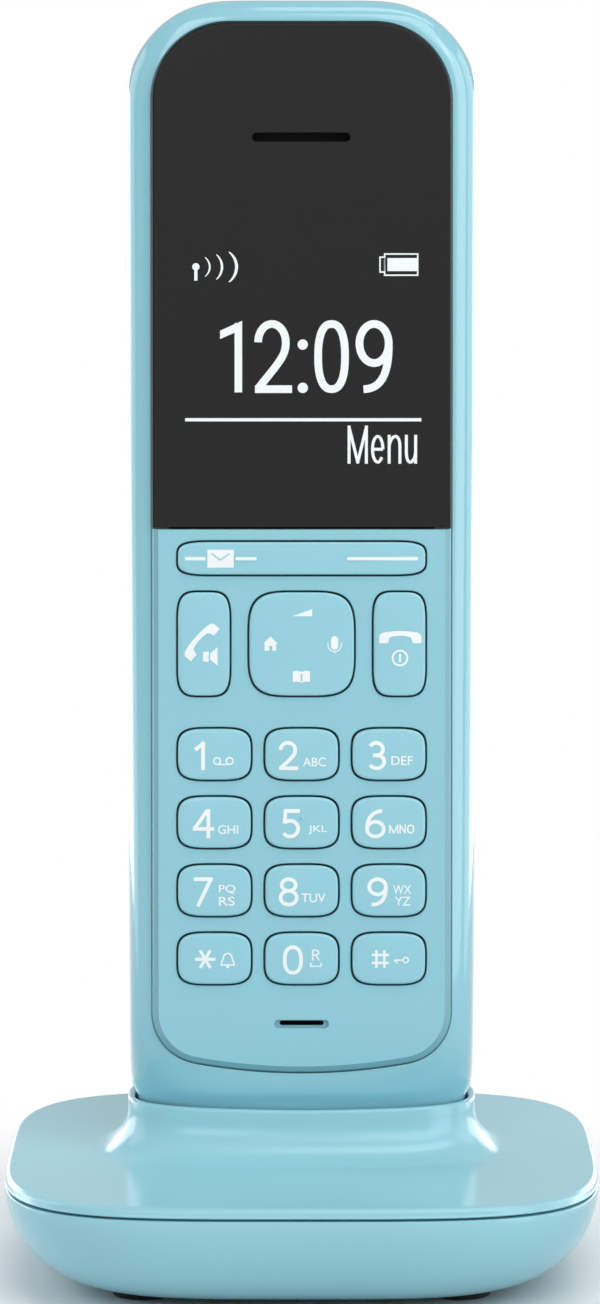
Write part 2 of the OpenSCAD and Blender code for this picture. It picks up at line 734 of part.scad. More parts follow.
module handset_screws() {
    color("silver") seated() for (x = [-1, 1]) {
        post(screw_r, screw_end_y, screw_seat_y + hair, x * screw_x, screw_z);
        difference() {
            post(screw_head_r, screw_seat_y, screw_seat_y + screw_head_h, x * screw_x, screw_z);
            for (turn = [0, 90]) translate([x * screw_x, screw_seat_y + screw_head_h, screw_z])
                rotate([0, turn, 0]) cube([2.4, 1, 0.5], center = true);
        }
    }
}
module ringer_speaker() {
    color("#404040") seated() {
        post(ringer_r, ringer_back - ringer_t, ringer_back, 0, ringer_z);
        post(ringer_r - 2, ringer_back - ringer_t - ringer_magnet_t, ringer_back - ringer_t, 0, ringer_z);
    }
}
module cell(x) {
    color("#7d8f3a") seated() translate([x, cell_y, cell_foot]) {
        cylinder(d = cell_dia, h = cell_l - 1);
        translate([0, 0, cell_l - 1]) cylinder(r = 1.9, h = 1);
    }
}
module battery_cell_left() { cell(-cell_x); }
module battery_cell_right() { cell(cell_x); }
// A flat plate at each end of each cell, with a sprung tongue folded off it
module battery_contacts() {
    color("silver") seated() for (x = [-cell_x, cell_x]) {
        slab(x - 3.5, x + 3.5, bay_floor + 0.4, cell_y + 3, bay_foot + hair, bay_foot + 0.4);
        slab(x - 1.5, x + 1.5, cell_y - 1.5, cell_y + 1.5, bay_foot + 0.3, cell_foot - hair);
        slab(x - 3.5, x + 3.5, bay_floor + 0.4, cell_y + 3, bay_top - 0.4, bay_top - hair);
        slab(x - 1.5, x + 1.5, cell_y - 1.5, cell_y + 1.5, cell_foot + cell_l + hair, bay_top - 0.3);
    }
}
module charge_pads() {
    color("gold") seated() for (x = [-1, 1]) translate([x * pad_x, pad_y, 0]) {
        translate([-pad_w / 2, -pad_l / 2, 0]) cube([pad_w, pad_l, wall + 0.3]);
        translate([-pad_w / 2 - 0.8, -pad_l / 2, wall + hair]) cube([pad_w + 1.6, pad_l, 0.6]);
    }
}

// ---- Cradle ----
module screw_post(z0, z1, r) {
    for (x = [-1, 1], y = [-1, 1]) translate([x * post_x, y * post_y, z0]) cylinder(r = r, h = z1 - z0);
}
// From the underside of the seat out to the edge, up, in over the top and up the collar,
// over its rim and down into the seat
module cradle_top_cover() {
    n = 64;
    under = plate_z - cradle_wall;
    lip = seam_h - lip_h;
    e = seat_gap + collar_t;
    flare_steps = 5;
    color(PALE_BLUE) difference() {
        union() {
            loft(concat(
                [seat_floor_ring(seat_gap + seat_wall, -seat_floor_t - rest_gap, n),
                 seat_ring(seat_gap + seat_wall, under - 1, n),
                 seat_ring(seat_gap + seat_wall + 0.8, under, n),
                 plan_ring(lip_in + lip_t + 0.2, under, n),
                 plan_ring(lip_in + lip_t, lip, n),
                 plan_ring(lip_in, lip, n),
                 plan_ring(lip_in, seam_h + seam_gap / 2, n),
                 plan_ring(0.2, seam_h + seam_gap / 2, n),
                 plan_ring(0, seam_h + seam_gap / 2 + 0.25, n),
                 plan_ring(0.3, plate_z - 0.8, n),
                 plan_ring(0.6, plate_z - 0.35, n),
                 plan_ring(1.1, plate_z - 0.08, n),
                 plan_ring(1.9, plate_z, n)],
                [for (k = [0:flare_steps]) let (turn = 90 * k / flare_steps)
                    seat_ring(e + flare_r * (1 - sin(turn)), plate_z + flare_r * (1 - cos(turn)), n,
                              flare_r * (1 - cos(turn)) / collar_h)],
                [seat_ring(e, rim_z - 0.35, n, 1),
                 seat_ring(e - 0.15, rim_z - 0.1, n, 1),
                 seat_ring(e - collar_t / 2, rim_z, n, 1),
                 seat_ring(seat_gap + 0.1, rim_z - 0.1, n, 1),
                 seat_ring(seat_gap, rim_z - 0.35, n, 1),
                 seat_floor_ring(seat_gap, -rest_gap, n)]));
            screw_post(post_split + hair, under + cradle_wall / 2, post_r);
        }
        screw_post(0, cradle_screw_end + 0.5, screw_r + screw_clear);
        for (x = [-1, 1]) seated() translate([x * pad_x, pad_y, 0])
            cube([pin_w + 2 * pin_gap, pin_l + 2 * pin_gap, 4 * seat_floor_t], center = true);
    }
}
function bowl_ring(turn, foot, inset, n) = plan_ring(inset + bowl_inset * (1 - cos(turn)),
    seam_h - (seam_h - foot) * sin(turn) - seam_gap / 2 * cos(turn), n);
module cradle_bottom_shell() {
    n = 64;
    turns = [90, 78, 66, 54, 42, 30, 20, 10, 0];
    color(BLUE) difference() {
        union() {
            loft(concat([for (t = turns) bowl_ring(t, foot_h, 0, n)],
                        [for (k = [len(turns) - 1:-1:0])
                            bowl_ring(turns[k], shell_floor, cradle_wall, n)]));
            screw_post(foot_h + cradle_wall / 2, post_split, post_r);
            for (x = [-1, 1], y = [-1, 1]) translate([x * board_post_x, y * board_post_y, shell_floor - over])
                cylinder(r = 2, h = cradle_board_z - shell_floor + over);
        }
        screw_post(0, post_split + over, screw_r + screw_clear);
        screw_post(0, cradle_screw_seat, screw_head_r + 0.2);
        at_feet() cylinder(r = foot_r + hair, h = foot_top);
        translate([0, cradle_l / 2, socket_z])
            cube([socket_w + 2 * notch_gap, 2 * (cradle_l / 2 - socket_back + notch_in),
                  socket_h + 2 * notch_gap], center = true);
    }
}
module at_feet() {
    for (x = [-1, 1], y = [-1, 1]) translate([x * foot_x, y * foot_y, 0]) children();
}
module rubber_feet() {
    color("#1c1c1c") at_feet() cylinder(r = foot_r, h = foot_top - hair);
}
module cradle_screws() {
    color("silver") {
        difference() {
            screw_post(cradle_screw_seat - screw_head_h, cradle_screw_seat, screw_head_r);
            for (x = [-1, 1], y = [-1, 1], turn = [0, 90])
                translate([x * post_x, y * post_y, cradle_screw_seat - screw_head_h])
                    rotate([0, 0, turn]) cube([2.4, 0.5, 1], center = true);
        }
        screw_post(cradle_screw_seat - hair, cradle_screw_end, screw_r);
    }
}
// Block under the seat that guides the two charging contacts
module contact_carrier() {
    top = -seat_floor_t - rest_gap - hair;
    color("#e8e8e4") seated() difference() {
        slab(-carrier_w / 2, carrier_w / 2, carrier_front, carrier_back, top - carrier_t, top);
        for (x = [-1, 1]) translate([x * pad_x, pad_y, top])
            cube([pin_w + 2 * pin_gap, pin_l + 2 * pin_gap, 4 * carrier_t], center = true);
    }
}
// A charging contact: a blade through the seat, with a collar below the carrier
module charge_contact(x) {
    foot = -seat_floor_t - rest_gap - hair - carrier_t - pin_room - pin_flange_t;
    color("gold") seated() translate([x, pad_y, 0]) {
        translate([-pin_w / 2, -pin_l / 2, foot]) cube([pin_w, pin_l, -rest_gap - 0.4 - foot]);
        translate([-pin_w / 2 + 0.4, -pin_l / 2 + 0.3, -rest_gap - 1])
            cube([pin_w - 0.8, pin_l - 0.6, 1]);
        translate([-pin_w / 2 - pin_flange, -pin_l / 2 - pin_flange, foot])
            cube([pin_w + 2 * pin_flange, pin_l + 2 * pin_flange, pin_flange_t]);
    }
}
module charge_contact_left() { charge_contact(-pad_x); }
module charge_contact_right() { charge_contact(pad_x); }
module cradle_board() {
    color("#1f5c3a") translate([0, 0, cradle_board_z]) {
        translate([-board_post_x - 3, -board_post_y - 3, 0])
            cube([2 * board_post_x + 6, 2 * board_post_y + 6, cradle_board_t]);
        translate([-socket_w / 2 - 1, 0, 0])
            cube([socket_w + 2, socket_back - 7, cradle_board_t]);
    }
}
module power_socket() {
    color("#202020") difference() {
        translate([-socket_w / 2, socket_back - socket_l, socket_z - socket_h / 2])
            cube([socket_w, socket_l, socket_h]);
        translate([-plug_w / 2, socket_back - plug_l, socket_z - plug_h / 2])
            cube([plug_w, plug_l + over, plug_h]);
    }
}

handset_front_housing();
handset_rear_housing();
display_window();
keypad_panel();
display_module();
backlight_frame();
earpiece_speaker();
ringer_speaker();
microphone();
microphone_boot();
keypad_mat();
snap_domes();
main_board();
shield_can();
antenna();
battery_cell_left();
battery_cell_right();
battery_contacts();
charge_pads();
handset_screws();
battery_cover();
soft_key_bar();
talk_key();
end_key();
navigation_pivot();
navigation_key();
key_1();
key_2();
key_3();
key_4();
key_5();
key_6();
key_7();
key_8();
key_9();
key_star();
key_0();
key_hash();
cradle_top_cover();
cradle_bottom_shell();
rubber_feet();
contact_carrier();
charge_contact_left();
charge_contact_right();
cradle_board();
power_socket();
cradle_screws();
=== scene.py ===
import json
import math

import bmesh
import bpy
from mathutils import Matrix, Vector


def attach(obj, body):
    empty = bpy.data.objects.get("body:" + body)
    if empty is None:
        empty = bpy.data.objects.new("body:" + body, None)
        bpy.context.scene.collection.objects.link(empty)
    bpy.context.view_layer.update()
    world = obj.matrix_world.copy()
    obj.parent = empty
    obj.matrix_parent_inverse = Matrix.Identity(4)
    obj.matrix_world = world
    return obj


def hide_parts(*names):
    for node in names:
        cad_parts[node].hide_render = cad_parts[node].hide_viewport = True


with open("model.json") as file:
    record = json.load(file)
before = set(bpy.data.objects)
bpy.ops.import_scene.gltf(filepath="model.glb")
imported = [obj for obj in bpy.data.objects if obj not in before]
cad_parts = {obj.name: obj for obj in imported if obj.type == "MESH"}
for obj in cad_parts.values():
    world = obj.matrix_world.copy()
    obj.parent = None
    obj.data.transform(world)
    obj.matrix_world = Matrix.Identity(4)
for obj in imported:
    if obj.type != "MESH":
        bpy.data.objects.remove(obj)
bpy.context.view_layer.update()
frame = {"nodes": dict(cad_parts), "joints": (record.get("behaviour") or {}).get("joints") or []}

mm = 0.001
joints = {j["name"]: j for j in frame["joints"]}

# Local x runs right, y back from the front face, z up along the handset, in millimetres.
handset = {
    "length": 160.0,
    "width": 48.0,
    "depth": 25.0,
    "wall": 2.0,
    "topCorner": 13.7,      # seen from the front
    "topEdge": 3.0,         # between the front face and the top end
    "backTopEdge": 7.0,
    "taper": 0.6,           # each side, from taperEnd down to the foot
    "taperEnd": 100.0,
    "backThinning": 3.0,    # at the top end
    "thinFrom": 97.0,
    "seamDepth": 12.5,
    "seamRound": 0.12,
    "chinStart": 26.0,
    "chinRadius": 90.0,
    "footCorner": 6.0,
    "footEdge": 3.0,
    "footStep": 0.9,
    "stepLow": 9.6,
    "stepHigh": 11.8,
    "frontPower": 7.0,      # squareness of the section: in front, at the foot, and behind
    "footPower": 3.4,
    "backPower": 3.0,
    "widest": 0.46,         # share of the depth where the section is widest
    "keyBack": 2.1,         # depth of the navigation key's back, on its hinge
    "navigationHeight": 72.8,
}
liftAxis = Vector(joints["handset_lift"]["axis"]).normalized()
backAxis = Vector(joints["battery_cover_release"]["axis"]).normalized()
hinge = Vector(joints["navigation_up_down"]["pos_m"])
corner = hinge - backAxis * handset["keyBack"] * mm - liftAxis * handset["navigationHeight"] * mm
handsetPlace = Matrix.Translation(corner) @ Matrix((
    (mm, 0, 0, 0),
    (0, backAxis.y * mm, liftAxis.y * mm, 0),
    (0, backAxis.z * mm, liftAxis.z * mm, 0),
    (0, 0, 0, 1)))
cradlePlace = Matrix.Scale(mm, 4)
leanSlope = liftAxis.y / liftAxis.z


def ease(t):
    t = min(1.0, max(0.0, t))
    return t * t * (3 - 2 * t)


def raised(value, power):
    return math.copysign(abs(value) ** power, value)


def cornerInset(t, r):
    if t <= 0:
        return r
    return 0.0 if t >= r else r - math.sqrt(r * r - (r - t) ** 2)


def chin(z):
    return max(0.0, handset["chinStart"] - z) ** 2 / (2 * handset["chinRadius"])


def footInset(z, y):
    h = handset
    return h["footStep"] * (1 - ease((z - y * leanSlope - h["stepLow"]) / (h["stepHigh"] - h["stepLow"])))


def halfWidth(z, out):
    h = handset
    return (h["width"] / 2 + out - h["taper"] * (1 - min(1, z / h["taperEnd"])) - footInset(z, h["depth"] / 2)
            - cornerInset(h["length"] + out - z, h["topCorner"] + out)
            - cornerInset(z + out, h["footCorner"] + out))


def frontDepth(z, out):
    h = handset
    return (chin(z) + footInset(z, 0) - out + cornerInset(h["length"] + out - z, max(0.5, h["topEdge"] + out))
            + cornerInset(z + out, max(0.5, h["footEdge"] + out)))


def backDepth(z, out):
    h = handset
    thin = h["backThinning"] * ease((z - h["thinFrom"]) / (h["length"] - h["thinFrom"]))
    return (h["depth"] + out - footInset(z, h["depth"]) - thin
            - cornerInset(h["length"] + out - z, h["backTopEdge"] + out)
            - cornerInset(z + out, max(0.5, h["footEdge"] + out)))


def frontPower(z):
    return handset["footPower"] + (handset["frontPower"] - handset["footPower"]) * ease((z - 9) / 13)


def section(z, out):
    # Half width of the form at a height, and the depths of its front, widest line and back
    half, front, back = halfWidth(z, out), frontDepth(z, out), backDepth(z, out)
    return half, front, front + (back - front) * handset["widest"], back


def inSkin(x, y, z, out):
    # True inside the handset's smooth outer form, moved out by a distance
    if not -out < z < handset["length"] + out:
        return False
    half, front, middle, back = section(z, out)
    if abs(x) >= half or not front < y < back:
        return False
    if y < middle:
        power, depth = frontPower(z), (middle - y) / (middle - front)
    else:
        power, depth = handset["backPower"], (y - middle) / (back - middle)
    return (abs(x) / half) ** power + depth ** power < 1


def skinDepth(x, z, out, behind=False):
    # Depth of the form's front or back over a point of the front view
    half, front, middle, back = section(z, out)
    power = handset["backPower"] if behind else frontPower(z)
    bulge = max(0.0, 1 - (abs(x) / half) ** power) ** (1 / power)
    return middle + (back - middle) * bulge if behind else middle - (middle - front) * bulge


def reach(point, normal, y, out):
    # How far a ray in the front view runs before it leaves the form at depth y
    low, high = -30.0, 60.0
    for _ in range(40):
        mid = (low + high) / 2
        if inSkin(point[0] + normal[0] * mid, y, point[1] + normal[1] * mid, out):
            low = mid
        else:
            high = mid
    return low


def sweep(fromAngle, toAngle, steps):
    return [math.radians(fromAngle + (toAngle - fromAngle) * k / steps) for k in range(steps + 1)]


def polar(cx, cz, r, a):
    return (cx + r * math.cos(a), cz + r * math.sin(a))


def arc(cx, cz, r, fromAngle, toAngle, steps):
    # Points with their outward normals; the last one is left to the next stretch
    return [(polar(cx, cz, r, a), polar(0, 0, 1, a)) for a in sweep(fromAngle, toAngle, steps)[:-1]]


def line(x0, z0, x1, z1, steps):
    length = math.hypot(x1 - x0, z1 - z0)
    normal = ((z1 - z0) / length, (x0 - x1) / length)
    return [((x0 + (x1 - x0) * k / steps, z0 + (z1 - z0) * k / steps), normal) for k in range(steps)]


def roundedOutline(w, z0, z1, r, sideSteps=24, cornerSteps=16, endSteps=12):
    # Runs anticlockwise from the foot of the right side
    x = w / 2
    return (line(x, z0 + r, x, z1 - r, sideSteps) + arc(x - r, z1 - r, r, 0, 90, cornerSteps)
            + line(x - r, z1, -x + r, z1, endSteps) + arc(-x + r, z1 - r, r, 90, 180, cornerSteps)
            + line(-x, z1 - r, -x, z0 + r, sideSteps) + arc(-x + r, z0 + r, r, 180, 270, cornerSteps)
            + line(-x + r, z0, x - r, z0, endSteps) + arc(x - r, z0 + r, r, 270, 360, cornerSteps))


face = {
    "width": 40.5,
    "top": 156.8,
    "split": 88.475,        # line between the window and the panel
    "splitGap": 0.08,       # from that line to either of them
    "round": 0.42,          # along the window's sides
    "panelEdge": 0.85,      # sloping edge of the panel
    "splitRound": 0.12,
    "foot": 14.5,
    "topCorner": 10.4,
    "footCorner": 7.0,
    "bowRadius": 80.0,
    "proud": 0.5,
    "floor": 1.0,           # depth of the pocket's floor
    "ledge": 2.4,           # width of that floor along the pocket's rim
    "gap": 0.17,
    "earSlot": (13.3, 1.25, 0.62, -0.05, 141.3),     # width, height, corner, centre
    "earDepth": (-2.0, 3.0),
}


def facePlan(grow, low=None, high=None):
    # The window and panel's common outline, or the part of it between two heights
    f = face
    x, r, bow = f["width"] / 2 + grow, f["footCorner"] + grow, f["bowRadius"] + grow
    bowZ = f["foot"] + f["bowRadius"]
    cornerX = x - r
    cornerZ = bowZ - math.sqrt((bow - r) ** 2 - cornerX ** 2)
    meet = math.degrees(math.asin(cornerX / (bow - r)))
    topR, top = f["topCorner"] + grow, f["top"] + grow
    upper = (arc(x - topR, top - topR, topR, 0, 90, 20) + line(x - topR, top, topR - x, top, 16)
             + arc(topR - x, top - topR, topR, 90, 180, 20))
    lower = (arc(-cornerX, cornerZ, r, 180, 270 - meet, 12) + arc(0, bowZ, bow, 270 - meet, 270 + meet, 30)
             + arc(cornerX, cornerZ, r, 270 + meet, 360, 12))
    if low is not None:      # window: closed along its lower edge
        return (line(x, low, x, top - topR, 14) + upper + line(-x, top - topR, -x, low, 14)
                + line(-x, low, x, low, 16))
    if high is not None:     # panel: closed along its upper edge
        return (line(x, cornerZ, x, high, 30) + line(x, high, -x, high, 16)
                + line(-x, high, -x, cornerZ, 30) + lower)
    return line(x, cornerZ, x, top - topR, 40) + upper + line(-x, top - topR, -x, cornerZ, 40) + lower


def ringOf(plan, depth, out=0.0):
    # A plan's points, moved out along their normals; depth is a number or a function of x and z
    level = depth if callable(depth) else lambda x, z: depth
    return [Vector((p[0] + n[0] * out, level(*p), p[1] + n[1] * out)) for p, n in plan]


def formRing(plan, y, out=0.0, depth=None, inset=0.0):
    # Where rays from a plan leave the form at depth y, drawn there or at another depth
    found = []
    for p, n in plan:
        s = reach(p, n, y, out) - inset
        found.append(Vector((p[0] + n[0] * s, y if depth is None else depth, p[1] + n[1] * s)))
    return found


def addObject(name, data):
    made = bpy.data.objects.new(name, data)
    bpy.context.scene.collection.objects.link(made)
    return made


def meshObject(name, bm, finish=None):
    mesh = bpy.data.meshes.new(name)
    bm.to_mesh(mesh)
    bm.free()
    if finish:
        mesh.materials.append(finish)
    return addObject(name, mesh)


def smooth(piece, sharp):
    # Shades smooth, but for edges that turn by more than an angle
    piece.data.polygons.foreach_set("use_smooth", [True] * len(piece.data.polygons))
    piece.data.set_sharp_from_angle(angle=math.radians(sharp))


def link(name, bm, place, finish=None, sharp=40):
    bmesh.ops.remove_doubles(bm, verts=bm.verts, dist=1e-5)
    bm.transform(place)
    bmesh.ops.recalc_face_normals(bm, faces=bm.faces)
    piece = meshObject(name, bm, finish and finishes[finish])
    smooth(piece, sharp)
    return piece


def settle(piece, body, slotName, *nodes):
    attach(piece, body)
    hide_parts(*nodes)
    print("piece", piece.name, len(piece.data.polygons), "faces")
    return piece


def weighted(piece):
    # Large flat faces keep their shading; the narrow rounds beside them take the turn
    mod = piece.modifiers.new("weighted", "WEIGHTED_NORMAL")
    mod.keep_sharp = True
    mod.weight = 100


def carve(piece, bm, place, sharp):
    # Takes the cutters' forms out of a piece
    cutter = link("cutter", bm, place)
    mod = piece.modifiers.new("carve", "BOOLEAN")
    mod.operation = "DIFFERENCE"
    mod.solver = "EXACT"
    mod.object = cutter
    bpy.context.view_layer.update()
    graph = bpy.context.evaluated_depsgraph_get()
    mesh = bpy.data.meshes.new_from_object(piece.evaluated_get(graph), preserve_all_data_layers=True,
                                           depsgraph=graph)
    piece.modifiers.clear()
    piece.data = mesh
    bpy.data.objects.remove(cutter)
    smooth(piece, sharp)


def circle(bm, count, filled=False):
    # The vertices of a new circle, in turn
    made = bmesh.ops.create_circle(bm, segments=count, radius=1, cap_ends=filled)["verts"]
    return sorted(made, key=lambda v: math.atan2(v.co.y, v.co.x) % math.tau)


def newVerts(drawn):
    return [g for g in drawn["geom"] if isinstance(g, bmesh.types.BMVert)]


def loopEdges(bm, loop):
    return [bm.edges.get((loop[k - 1], loop[k])) for k in range(len(loop))]


def loftRings(bm, rings, capStart=False, capEnd=False, closed=False):
    # Draws a ring out through a stack of rings with as many points each
    made = first = circle(bm, len(rings[0]))
    for k, ring in enumerate(rings):
        if k:
            fresh = set(newVerts(bmesh.ops.extrude_edge_only(bm, edges=loopEdges(bm, made))))
            made = [next(e.other_vert(v) for e in v.link_edges if e.other_vert(v) in fresh) for v in made]
        for v, p in zip(made, ring):
            v.co = p
    if capStart:
        bmesh.ops.contextual_create(bm, geom=first)
    if capEnd:
        bmesh.ops.contextual_create(bm, geom=made)
    if closed:
        bmesh.ops.bridge_loops(bm, edges=loopEdges(bm, first) + loopEdges(bm, made))
    return first, made


def loftPiece(name, rings, place, finish, sharp):
    bm = bmesh.new()
    loftRings(bm, rings, capStart=True, capEnd=True)
    return link(name, bm, place, finish, sharp)


def plate(bm, outline, front, back):
    # A flat piece; front and back are depths
    loop = circle(bm, len(outline), True)
    for v, (p, _) in zip(loop, outline):
        v.co = (p[0], back, p[1])
    drawn = bmesh.ops.extrude_face_region(bm, geom=list(loop[0].link_faces))
    bmesh.ops.translate(bm, verts=newVerts(drawn), vec=(0, front - back, 0))


def roundedRect(w, h, r, cx=0.0, cz=0.0, steps=8):
    return [((p[0] + cx, p[1] + cz), n) for p, n in
            roundedOutline(w, -h / 2, h / 2, r, sideSteps=1, cornerSteps=steps, endSteps=1)]


def softRect(w, h, cornerX, cornerZ, cx=0.0, cz=0.0, steps=12, power=3.8):
    # A rectangle whose corners sweep in early, so that its sides look slightly bowed
    found = []
    for signX, signZ, turned in ((1, 1, False), (-1, 1, True), (-1, -1, False), (1, -1, True)):
        for k in range(steps):
            a = math.pi / 2 * ((steps - k if turned else k) + (-0.5 if turned else 0.5)) / steps
            x = cx + signX * (w / 2 - cornerX + cornerX * math.cos(a) ** (2 / power))
            z = cz + signZ * (h / 2 - cornerZ + cornerZ * math.sin(a) ** (2 / power))
            found.append(((x, z), (0, 0)))
    return found


def boxMesh(bm, x0, x1, y0, y1, z0, z1):
    for v in bmesh.ops.create_cube(bm, size=1)["verts"]:
        v.co = ((x0 + x1) / 2 + v.co.x * (x1 - x0), (y0 + y1) / 2 + v.co.y * (y1 - y0),
                (z0 + z1) / 2 + v.co.z * (z1 - z0))


def pin(bm, r, depth, place, steps):
    bmesh.ops.create_cone(bm, cap_ends=True, segments=steps, radius1=r, radius2=r, depth=depth, matrix=place)


def join(target, *others):
    # Adds other meshes to a piece, with their materials
    for other in others:
        base = len(target.data.materials)
        for m in other.data.materials:
            target.data.materials.append(m)
        for f in other.data.polygons:
            f.material_index += base
        bm = bmesh.new()
        bm.from_mesh(target.data)
        bm.from_mesh(other.data)
        bm.to_mesh(target.data)
        bm.free()
        bpy.data.objects.remove(other)


def feed(tree, node, inputs):
    # Each input takes a value or the socket that drives it
    for key, value in inputs.items():
        if isinstance(value, bpy.types.NodeSocket):
            tree.links.new(value, node.inputs[key])
        else:
            node.inputs[key].default_value = value


def addNode(tree, kind, inputs):
    node = tree.nodes.new("ShaderNode" + kind)
    feed(tree, node, inputs)
    return node


def mixColour(tree, factor, a, b):
    node = addNode(tree, "Mix", {})
    node.data_type = "RGBA"
    feed(tree, node, {0: factor, 6: a, 7: b})
    return node.outputs[2]


def maths(tree, operation, a, b=0.0, c=0.0):
    node = addNode(tree, "Math", {0: a, 1: b, 2: c})
    node.operation = operation
    return node.outputs[0]


def noise(tree, vector, scale, detail):
    return addNode(tree, "TexNoise", {"Detail": detail, "Vector": vector, "Scale": scale}).outputs["Fac"]


# Scale and detail of each noise, then the values that all finishes share
surface = {
    "cloud": (38.0, 3.0), "grain": (2400.0, 1.0), "smear": (160.0, 4.0), "peel": (700.0, 2.0),
    "grainDrift": 0.03, "drift": 0.25, "shade": 0.86, "peelDepth": 0.00002, "coatRoughness": 0.03,
}


def mouldedGroup():
    # Moulded surface: colour drifts a little in clouds, gloss carries faint smears,
    # and a very fine orange peel lies over it
    tree = bpy.data.node_groups.new("mouldedSurface", "ShaderNodeTree")
    for label, kind, value in (("Position", "Vector", (0, 0, 0)), ("Color", "Color", (0.5, 0.5, 0.5, 1)),
                               ("Shade", "Color", (0.4, 0.4, 0.4, 1)), ("Drift", "Float", 0.2),
                               ("Roughness", "Float", 0.2), ("Smear", "Float", 0.05)):
        s = tree.interface.new_socket(label, in_out="INPUT", socket_type="NodeSocket" + kind)
        s.default_value = value
    for label, kind in (("Color", "Color"), ("Roughness", "Float"), ("Height", "Float")):
        tree.interface.new_socket(label, in_out="OUTPUT", socket_type="NodeSocket" + kind)
    given = tree.nodes.new("NodeGroupInput").outputs
    cloud, grain, smear, peel = (noise(tree, given["Position"], *surface[name])
                                 for name in ("cloud", "grain", "smear", "peel"))
    drift = maths(tree, "MULTIPLY", cloud, given["Drift"])
    drift = maths(tree, "MULTIPLY_ADD", maths(tree, "SUBTRACT", grain, 0.5), surface["grainDrift"], drift)
    spread = maths(tree, "MULTIPLY", maths(tree, "SUBTRACT", smear, 0.5), given["Smear"])
    feed(tree, tree.nodes.new("NodeGroupOutput"), {
        "Color": mixColour(tree, drift, given["Color"], given["Shade"]),
        "Roughness": maths(tree, "ADD", given["Roughness"], spread), "Height": peel})
    return tree


def srgb(*levels):
    # A colour given in levels from 0 to 255, as the linear values that the shaders take
    shares = [level / 255 for level in levels]
    return (*(c / 12.92 if c <= 0.04045 else ((c + 0.055) / 1.055) ** 2.4 for c in shares), 1.0)


moulded = mouldedGroup()


def material(name, colour, roughness=0.3, smear=0.05, bump=0.02, metallic=0.0, specular=0.5, coat=0.0):
    m = bpy.data.materials.new(name)
    m.use_nodes = True
    m.diffuse_color = colour
    tree = m.node_tree
    shader = tree.nodes["Principled BSDF"]
    g = addNode(tree, "Group", {})
    g.node_tree = moulded
    feed(tree, g, {"Position": addNode(tree, "TexCoord", {}).outputs["Object"], "Color": colour,
                   "Shade": tuple(c * surface["shade"] for c in colour[:3]) + (1,),
                   "Drift": surface["drift"], "Roughness": roughness, "Smear": smear})
    feed(tree, shader, {"Base Color": g.outputs["Color"], "Roughness": g.outputs["Roughness"],
                        "Metallic": metallic, "Specular IOR Level": specular, "Coat Weight": coat,
                        "Coat Roughness": surface["coatRoughness"]})
    if bump:
        b = addNode(tree, "Bump", {"Strength": bump, "Distance": surface["peelDepth"],
                                   "Height": g.outputs["Height"]})
        feed(tree, shader, {"Normal": b.outputs["Normal"]})
    return m


finishes = {
    "housing": material("glossBlueHousing", srgb(141, 200, 214), roughness=0.11, smear=0.03, coat=0.5),
    "panel": material("glossBluePanel", srgb(146, 203, 216), roughness=0.16, smear=0.03),
    "key": material("glossBlueKey", srgb(150, 207, 220), roughness=0.18, smear=0.03),
    "cradle": material("glossBlueCradle", srgb(150, 206, 219), roughness=0.2, smear=0.03),
    # painted shade: a darker blue for the panel's sloping edges and the floor of the microphone recess
    "panelEdge": material("paintedShadeBlueEdge", srgb(124, 175, 188), roughness=0.2, smear=0.03),
    "window": material("smokedWindow", srgb(31, 31, 31), roughness=0.25, smear=0.03, specular=0.25),
    # painted shade: a darker black for the window's rounded edges
    "windowEdgeShade": material("paintedShadeWindowEdge", srgb(20, 20, 21), roughness=0.3, smear=0.03, specular=0.15),
    "legend": material("whitePrint", srgb(240, 246, 247), roughness=0.5, bump=0),
    "rubber": material("blackRubber", srgb(24, 24, 25), roughness=0.75, smear=0.1, bump=0.3),
    "black": material("blackPlastic", srgb(15, 15, 16), roughness=0.6, specular=0.2),
    "white": material("whitePlastic", srgb(226, 226, 220), roughness=0.4),
    "silicone": material("greySilicone", srgb(190, 196, 200), roughness=0.6),
    "steel": material("platedSteel", srgb(190, 192, 195), roughness=0.28, metallic=1.0),
    "gold": material("platedContact", srgb(222, 184, 104), roughness=0.22, metallic=1.0),
    "board": material("boardGreen", srgb(30, 92, 58), roughness=0.35),
    "cell": material("cellSleeve", srgb(118, 140, 62), roughness=0.3),
    "screen": material("screenGlass", srgb(52, 58, 60), roughness=0.08),
}
print("stage: materials")


def frontHousing():
    plan = facePlan(face["gap"])
    slices = (12.38, 11.2, 9.8, 8.4, 7.0, 5.9, 5.0, 4.3, 3.7, 3.2, 2.8, 2.45, 2.15, 1.9, 1.7, 1.5, 1.35)
    rings = [formRing(plan, slices[0], depth=handset["seamDepth"], inset=handset["seamRound"])]
    rings += [formRing(plan, y) for y in slices]
    last = [reach(p, n, slices[-1], 0) for p, n in plan]
    for share in (0.86, 0.72, 0.58, 0.44, 0.3, 0.18, 0.08):
        between = []
        for (p, n), s in zip(plan, last):
            x, z = p[0] + n[0] * s * share, p[1] + n[1] * s * share
            between.append(Vector((x, skinDepth(x, z, 0), z)))
        rings.append(between)
    for out, sink in ((0.06, 0.01), (0.02, 0.035), (0.0, 0.09)):   # round lip of the pocket
        rings.append(ringOf(plan, lambda x, z: skinDepth(x, z, 0) + sink, out))
    floor, ledge, wall = face["floor"], face["ledge"], handset["wall"]
    for inset, depth in ((0, floor), (ledge, floor), (ledge, wall)):
        rings.append(ringOf(plan, lambda x, z: depth + chin(z), -inset))
    for y in (3.4, 4.5, 6.5, 9.0, handset["seamDepth"]):
        rings.append(formRing(plan, y, -wall))
    bm = bmesh.new()
    loftRings(bm, rings, closed=True)
    return settle(link("front_housing", bm, handsetPlace, "housing", 50),
                  "handset", "housing_blue", "handset_front_housing")


